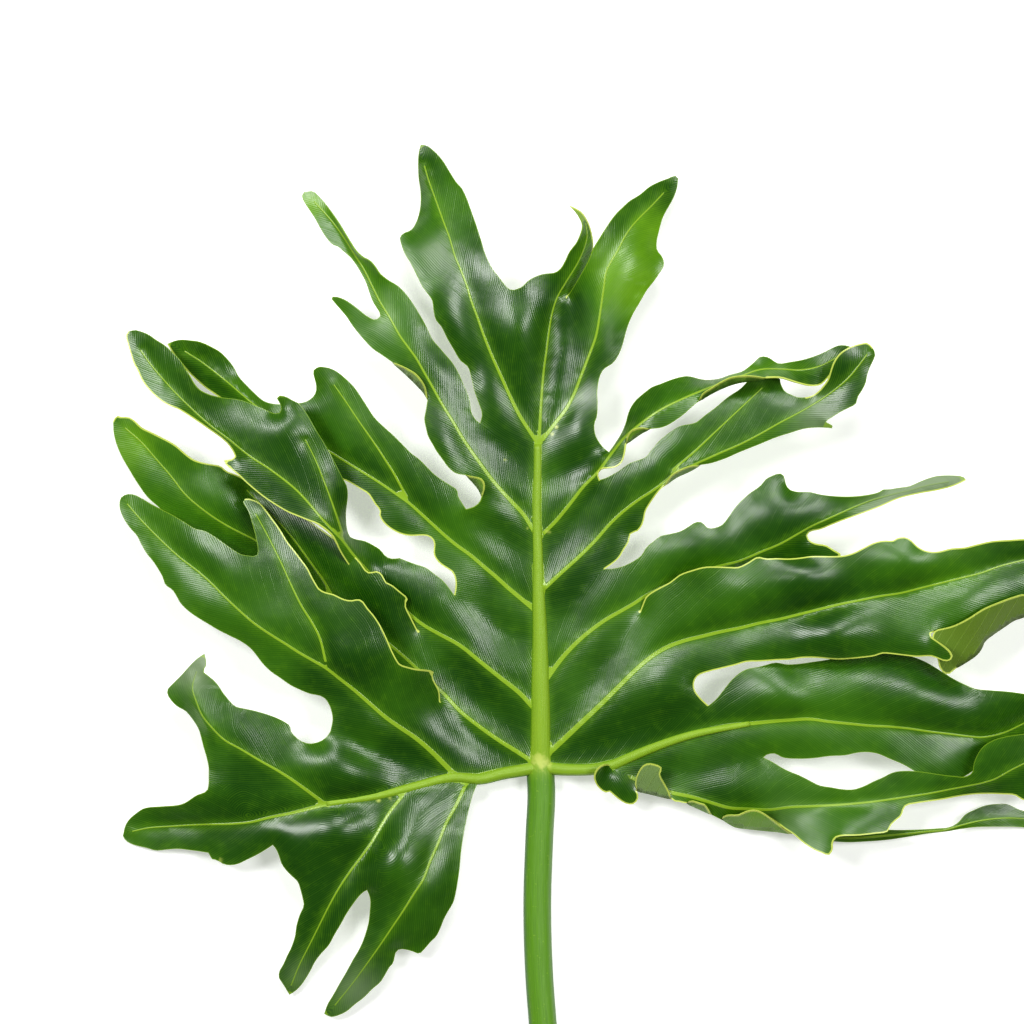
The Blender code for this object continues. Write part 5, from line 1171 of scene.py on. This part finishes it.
class Shading:
    """Short ways to add and join the nodes of one material."""

    def __init__(self, name):
        self.material = bpy.data.materials.new(name)
        self.material.use_nodes = True
        self.tree = self.material.node_tree
        self.shader = self.tree.nodes["Principled BSDF"]

    def join(self, source, target):
        if isinstance(source, bpy.types.NodeSocket):
            self.tree.links.new(source, target)
        else:
            target.default_value = source

    def feed(self, node, *values):
        """Join the values to the first inputs of the node and give its first output."""
        for value, socket in zip(values, node.inputs):
            self.join(value, socket)
        return node.outputs[0]

    def attribute(self, name, output="Fac"):
        node = self.tree.nodes.new("ShaderNodeAttribute")
        node.attribute_name = name
        return node.outputs[output]

    def math(self, operation, *values):
        node = self.tree.nodes.new("ShaderNodeMath")
        node.operation = operation
        return self.feed(node, *values)

    def times(self, first, second):
        return self.math("MULTIPLY", first, second)

    def plus(self, base, value, share):
        return self.math("MULTIPLY_ADD", value, share, base)

    def ramp(self, value, *ends):
        """A smooth step over the first two ends, giving 0 to 1 or the range of the other two."""
        node = self.tree.nodes.new("ShaderNodeMapRange")
        node.interpolation_type = "SMOOTHSTEP"
        return self.feed(node, value, *ends)

    def mix(self, share, first, second):
        node = self.tree.nodes.new("ShaderNodeMix")
        node.data_type = "RGBA"
        self.feed(node, share)
        self.join(first, node.inputs[6])
        self.join(second, node.inputs[7])
        return node.outputs[2]

    def paint(self, colour, *layers):
        """The colour with layers laid over it, each a share and a tint."""
        for share, tint in layers:
            colour = self.mix(share, colour, tint)
        return colour

    def noise(self, vector, scale, detail=3.0, roughness=0.5):
        node = self.tree.nodes.new("ShaderNodeTexNoise")
        self.feed(node, vector)
        node.inputs["Scale"].default_value = scale
        node.inputs["Detail"].default_value = detail
        node.inputs["Roughness"].default_value = roughness
        return node.outputs["Fac"]

    def object_place(self):
        return self.tree.nodes.new("ShaderNodeTexCoord").outputs["Object"]

    def vector(self, x, y, z):
        return self.feed(self.tree.nodes.new("ShaderNodeCombineXYZ"), x, y, z)

    def split(self, vector):
        node = self.tree.nodes.new("ShaderNodeSeparateXYZ")
        self.feed(node, vector)
        return node.outputs

    def bump(self, height, distance, strength=1.0):
        node = self.tree.nodes.new("ShaderNodeBump")
        node.inputs["Strength"].default_value = strength
        node.inputs["Distance"].default_value = distance
        self.join(height, node.inputs["Height"])
        self.join(node.outputs[0], self.shader.inputs["Normal"])

    def finish(self, colour, roughness, specular=0.5):
        self.join(colour, self.shader.inputs["Base Color"])
        self.join(roughness, self.shader.inputs["Roughness"])
        self.shader.inputs["Specular IOR Level"].default_value = specular
        return self.material


def strand_waves(s):
    """Side veins that leave the lobe's vein slantwise: fine ones and stronger ones."""
    place = s.object_place()
    run, away, _ = s.split(s.attribute("strand", "Vector"))
    slant = s.math("SUBTRACT", run, s.times(away, STRAND_SLANT))
    bend = s.times(s.noise(place, 26.0, 2.0), 5.0)
    line = s.math("ADD", slant, bend)
    fine = s.math("SINE", s.times(line, 2.0 * math.pi / STRAND_PITCH))
    wide = s.math("SINE", s.times(line, math.pi / STRONG_PITCH))
    strong = s.math("SUBTRACT", 1.0, s.math("ABSOLUTE", wide))
    strong = s.ramp(strong, 0.80, 1.0)
    return place, fine, strong


def top_material():
    """Glossy green upper face with pale veins and a cream edge line."""
    s = Shading("leaf_upper")
    place, fine, strong = strand_waves(s)
    vein_gap = s.attribute("vein_gap")
    vein = s.ramp(vein_gap, -0.15, 0.2, 1.0, 0.0)
    halo = s.ramp(vein_gap, 0.0, 5.0, 1.0, 0.0)
    margin_gap = s.attribute("margin_gap")
    edge = s.ramp(margin_gap, 0.05, 0.5, 0.55, 0.0)
    pale_edge = s.ramp(s.attribute("pale_gap"), 0.45, 0.85, 1.0, 0.0)
    rim_glow = s.ramp(margin_gap, 0.8, 5.0, 1.0, 0.0)
    cloud = s.noise(place, 11.0, 4.0, 0.6)
    mottle = s.noise(place, 160.0, 4.0, 0.6)
    shade_and_tone = s.attribute("shade_and_tone")
    # Here the spot patches deepen the green with painted shade in the valleys and under
    # overlapping lobes, besides the leaf's own tone.
    base = s.plus(s.ramp(cloud, 0.36, 0.68, 0.15, 0.85), shade_and_tone, 0.75)
    glow = s.times(halo, 0.22)
    for layer in (rim_glow, strong, fine):
        glow = s.plus(glow, layer, 0.10)
    glow = s.math("ADD", glow, s.ramp(mottle, 0.45, 0.75, 0.0, 0.12))
    glow = s.math("ADD", glow, s.ramp(shade_and_tone, 0.2, 1.2, 0.0, 0.75))
    dull = s.attribute("dull")
    colour = s.paint(
        DEEP_GREEN,
        (s.ramp(base, 0.0, 1.0), MID_GREEN),
        (glow, BRIGHT_GREEN),
        (s.times(dull, 0.9), DULL_GREEN),
        (s.times(s.attribute("olive"), 0.6), UNDER_OLIVE),
        (s.times(vein, s.plus(0.85, dull, -0.6)), VEIN_GREEN),
        (s.ramp(s.attribute("mark"), 0.3, 0.9, 0.0, 0.8), NODE_PALE),
        (edge, VEIN_GREEN),
        (pale_edge, MARGIN_CREAM),
    )
    height = s.times(fine, 0.09)
    for layer, share in ((strong, -0.15), (mottle, 0.5), (vein, 0.9)):
        height = s.plus(height, layer, share)
    least, most, specular, relief = TOP_FINISH
    s.bump(height, relief * MM, 0.7)
    roughness = s.plus(s.ramp(cloud, 0.3, 0.7, least, most), dull, DULL_ROUGHNESS)
    return s.finish(colour, roughness, specular)


def under_material():
    """Dull underside, pale grey-green to olive, with raised veins."""
    s = Shading("leaf_under")
    place, fine, strong = strand_waves(s)
    cloud = s.noise(place, 18.0, 4.0, 0.6)
    edge = s.ramp(s.attribute("pale_gap"), 0.4, 0.9, 1.0, 0.0)
    vein = s.ramp(s.attribute("vein_gap"), -0.1, 0.5, 1.0, 0.0)
    colour = s.paint(
        UNDER_PALE,
        (s.attribute("olive"), UNDER_OLIVE),
        (s.attribute("fresh"), BRIGHT_GREEN),
        (s.ramp(cloud, 0.35, 0.75, 0.0, 0.35), MID_GREEN),
        (s.times(strong, 0.3), VEIN_GREEN),
        (vein, VEIN_GREEN),
        (edge, MARGIN_CREAM),
    )
    height = s.plus(s.plus(vein, fine, 0.1), strong, 0.6)
    least, most, specular, relief = UNDER_FINISH
    s.bump(height, relief * MM, 0.8)
    return s.finish(colour, s.ramp(cloud, 0.3, 0.7, least, most), specular)


def margin_material():
    """Thin cut edge of the blade."""
    s = Shading("leaf_margin")
    cloud = s.noise(s.object_place(), 60.0, 3.0)
    pale = s.ramp(s.attribute("pale_gap"), 0.5, 2.0, 0.8, 0.0)
    base = s.ramp(cloud, 0.4, 0.7, 0.3, 0.7)
    colour = s.paint(VEIN_GREEN, (base, BRIGHT_GREEN), (pale, MARGIN_CREAM))
    return s.finish(colour, s.ramp(cloud, 0.3, 0.7, 0.4, 0.5), 0.4)


def rib_material(name, centre, flank_shade_and_streak, run_low, run_high, far_centre, far_flank_shade_and_streak):
    """Fleshy stalk or rib: lengthwise streaks, sides darkened with painted shade and small pale
    marks.
    """
    s = Shading(name)
    run = s.attribute("run")
    sideways = s.attribute("sideways")
    turn = s.attribute("turn")
    place = s.object_place()
    streak_place = s.vector(s.times(turn, 85.0), s.times(run, 0.05), 0.0)
    streak = s.noise(streak_place, 1.0, 3.0, 0.6)
    change = s.ramp(run, run_low, run_high)
    # Painted shade: the sides of the rod are darkened in its colour, the left side fully and the
    # right side half as much; the same dark colour also tints the streaks.
    outer = s.mix(change, flank_shade_and_streak, far_flank_shade_and_streak)
    left_painted_shade = s.ramp(sideways, -0.98, -0.70, 1.0, 0.0)
    right_painted_shade = s.ramp(sideways, 0.82, 1.0, 0.0, 0.5)
    x, y, _ = s.split(place)
    node_x = s.math("SUBTRACT", x, STALK_NODE[0] * MM)
    node_y = s.math("SUBTRACT", y, STALK_NODE[1] * MM)
    square = s.plus(s.times(node_x, node_x), node_y, node_y)
    ragged = s.ramp(s.noise(place, 260.0, 3.0), 0.3, 0.7, -2.0 * MM, 2.0 * MM)
    node_gap = s.math("ADD", s.math("SQRT", square), ragged)
    colour = s.paint(
        centre,
        (change, far_centre),
        (s.math("MAXIMUM", left_painted_shade, right_painted_shade), outer),
        (s.ramp(streak, 0.4, 0.7, 0.0, 0.28), outer),
        (s.ramp(node_gap, 1.0 * MM, 6.0 * MM, 0.85, 0.0), NODE_PALE),
        (s.ramp(s.noise(place, 700.0, 2.0), 0.66, 0.72, 0.0, 0.35), VEIN_GREEN),
    )
    least, most, specular, relief = RIB_FINISH
    s.bump(streak, relief * MM, 0.6)
    return s.finish(colour, s.ramp(streak, 0.3, 0.7, least, most), specular)


def soft_box(name, place, size, power):
    """A large soft lamp turned towards the leaf."""
    light = bpy.data.lights.new(name, "AREA")
    light.shape = "RECTANGLE"
    light.size = size[0] * MM
    light.size_y = size[1] * MM
    light.energy = power
    lamp = bpy.data.objects.new(name, light)
    lamp.location = [value * MM for value in place]
    direction = Vector([(a - b) * MM for a, b in zip(LIGHT_AIM, place)])
    lamp.rotation_euler = direction.to_track_quat("-Z", "Y").to_euler()
    bpy.context.scene.collection.objects.link(lamp)


def build_floor():
    """A plain pale surface under the leaf."""
    signs = np.array([(-1, -1, 0), (1, -1, 0), (1, 1, 0), (-1, 1, 0)])
    floor = new_mesh("floor", FLOOR_HALF * signs, [[0, 1, 2, 3]])
    s = Shading("floor_white")
    grain = s.noise(s.object_place(), 40.0)
    s.shader.inputs["Emission Color"].default_value = FLOOR_WHITE
    s.shader.inputs["Emission Strength"].default_value = FLOOR_GLOW
    floor.data.materials.append(s.finish(FLOOR_WHITE, s.ramp(grain, 0.3, 0.7, 0.8, 0.9), 0.1))


def build_camera():
    """A far camera with a long lens, straight above the leaf."""
    camera = bpy.data.cameras.new("camera")
    camera.lens = LENS
    camera.sensor_width = SENSOR
    camera.clip_end = 20.0
    holder = bpy.data.objects.new("camera", camera)
    distance = PHOTO_WIDTH * LENS / SENSOR
    x, y = VIEW_CENTRE
    holder.location = (x * MM, y * MM, (distance + LEAF_LEVEL) * MM)
    bpy.context.scene.collection.objects.link(holder)
    bpy.context.scene.camera = holder


def build_light():
    """Even white surroundings and three soft boxes that draw broad pale gleams."""
    world = bpy.data.worlds.new("studio")
    world.use_nodes = True
    background = world.node_tree.nodes["Background"]
    background.inputs["Color"].default_value = (1.0, 1.0, 1.0, 1.0)
    background.inputs["Strength"].default_value = ROOM_LIGHT
    bpy.context.scene.world = world
    for box in SOFT_BOXES:
        soft_box(*box)


blade = blade_piece()
for material in (top_material(), under_material(), margin_material()):
    blade.data.materials.append(material)
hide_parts("leaf")

stalk_skin = rib_material(
    "stalk_skin", STALK_GREEN, STALK_SHADE_AND_STREAK, 246.0, 258.0, RIB_YELLOW, RIB_SHADE_AND_STREAK)
rib_skin = rib_material(
    "rib_skin", RIB_YELLOW, RIB_SHADE_AND_STREAK, 20.0, 100.0, VEIN_GREEN, RIB_SHADE_AND_STREAK)
for name, path in RODS.items():
    rod = rod_piece(name, path)
    rod.data.materials.append(stalk_skin if name == "midrib" else rib_skin)
    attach(rod, "root")
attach(blade, "root")

build_floor()
build_camera()
build_light()
bpy.context.scene.view_settings.view_transform = "Standard"
bpy.context.scene.view_settings.look = "Medium High Contrast"
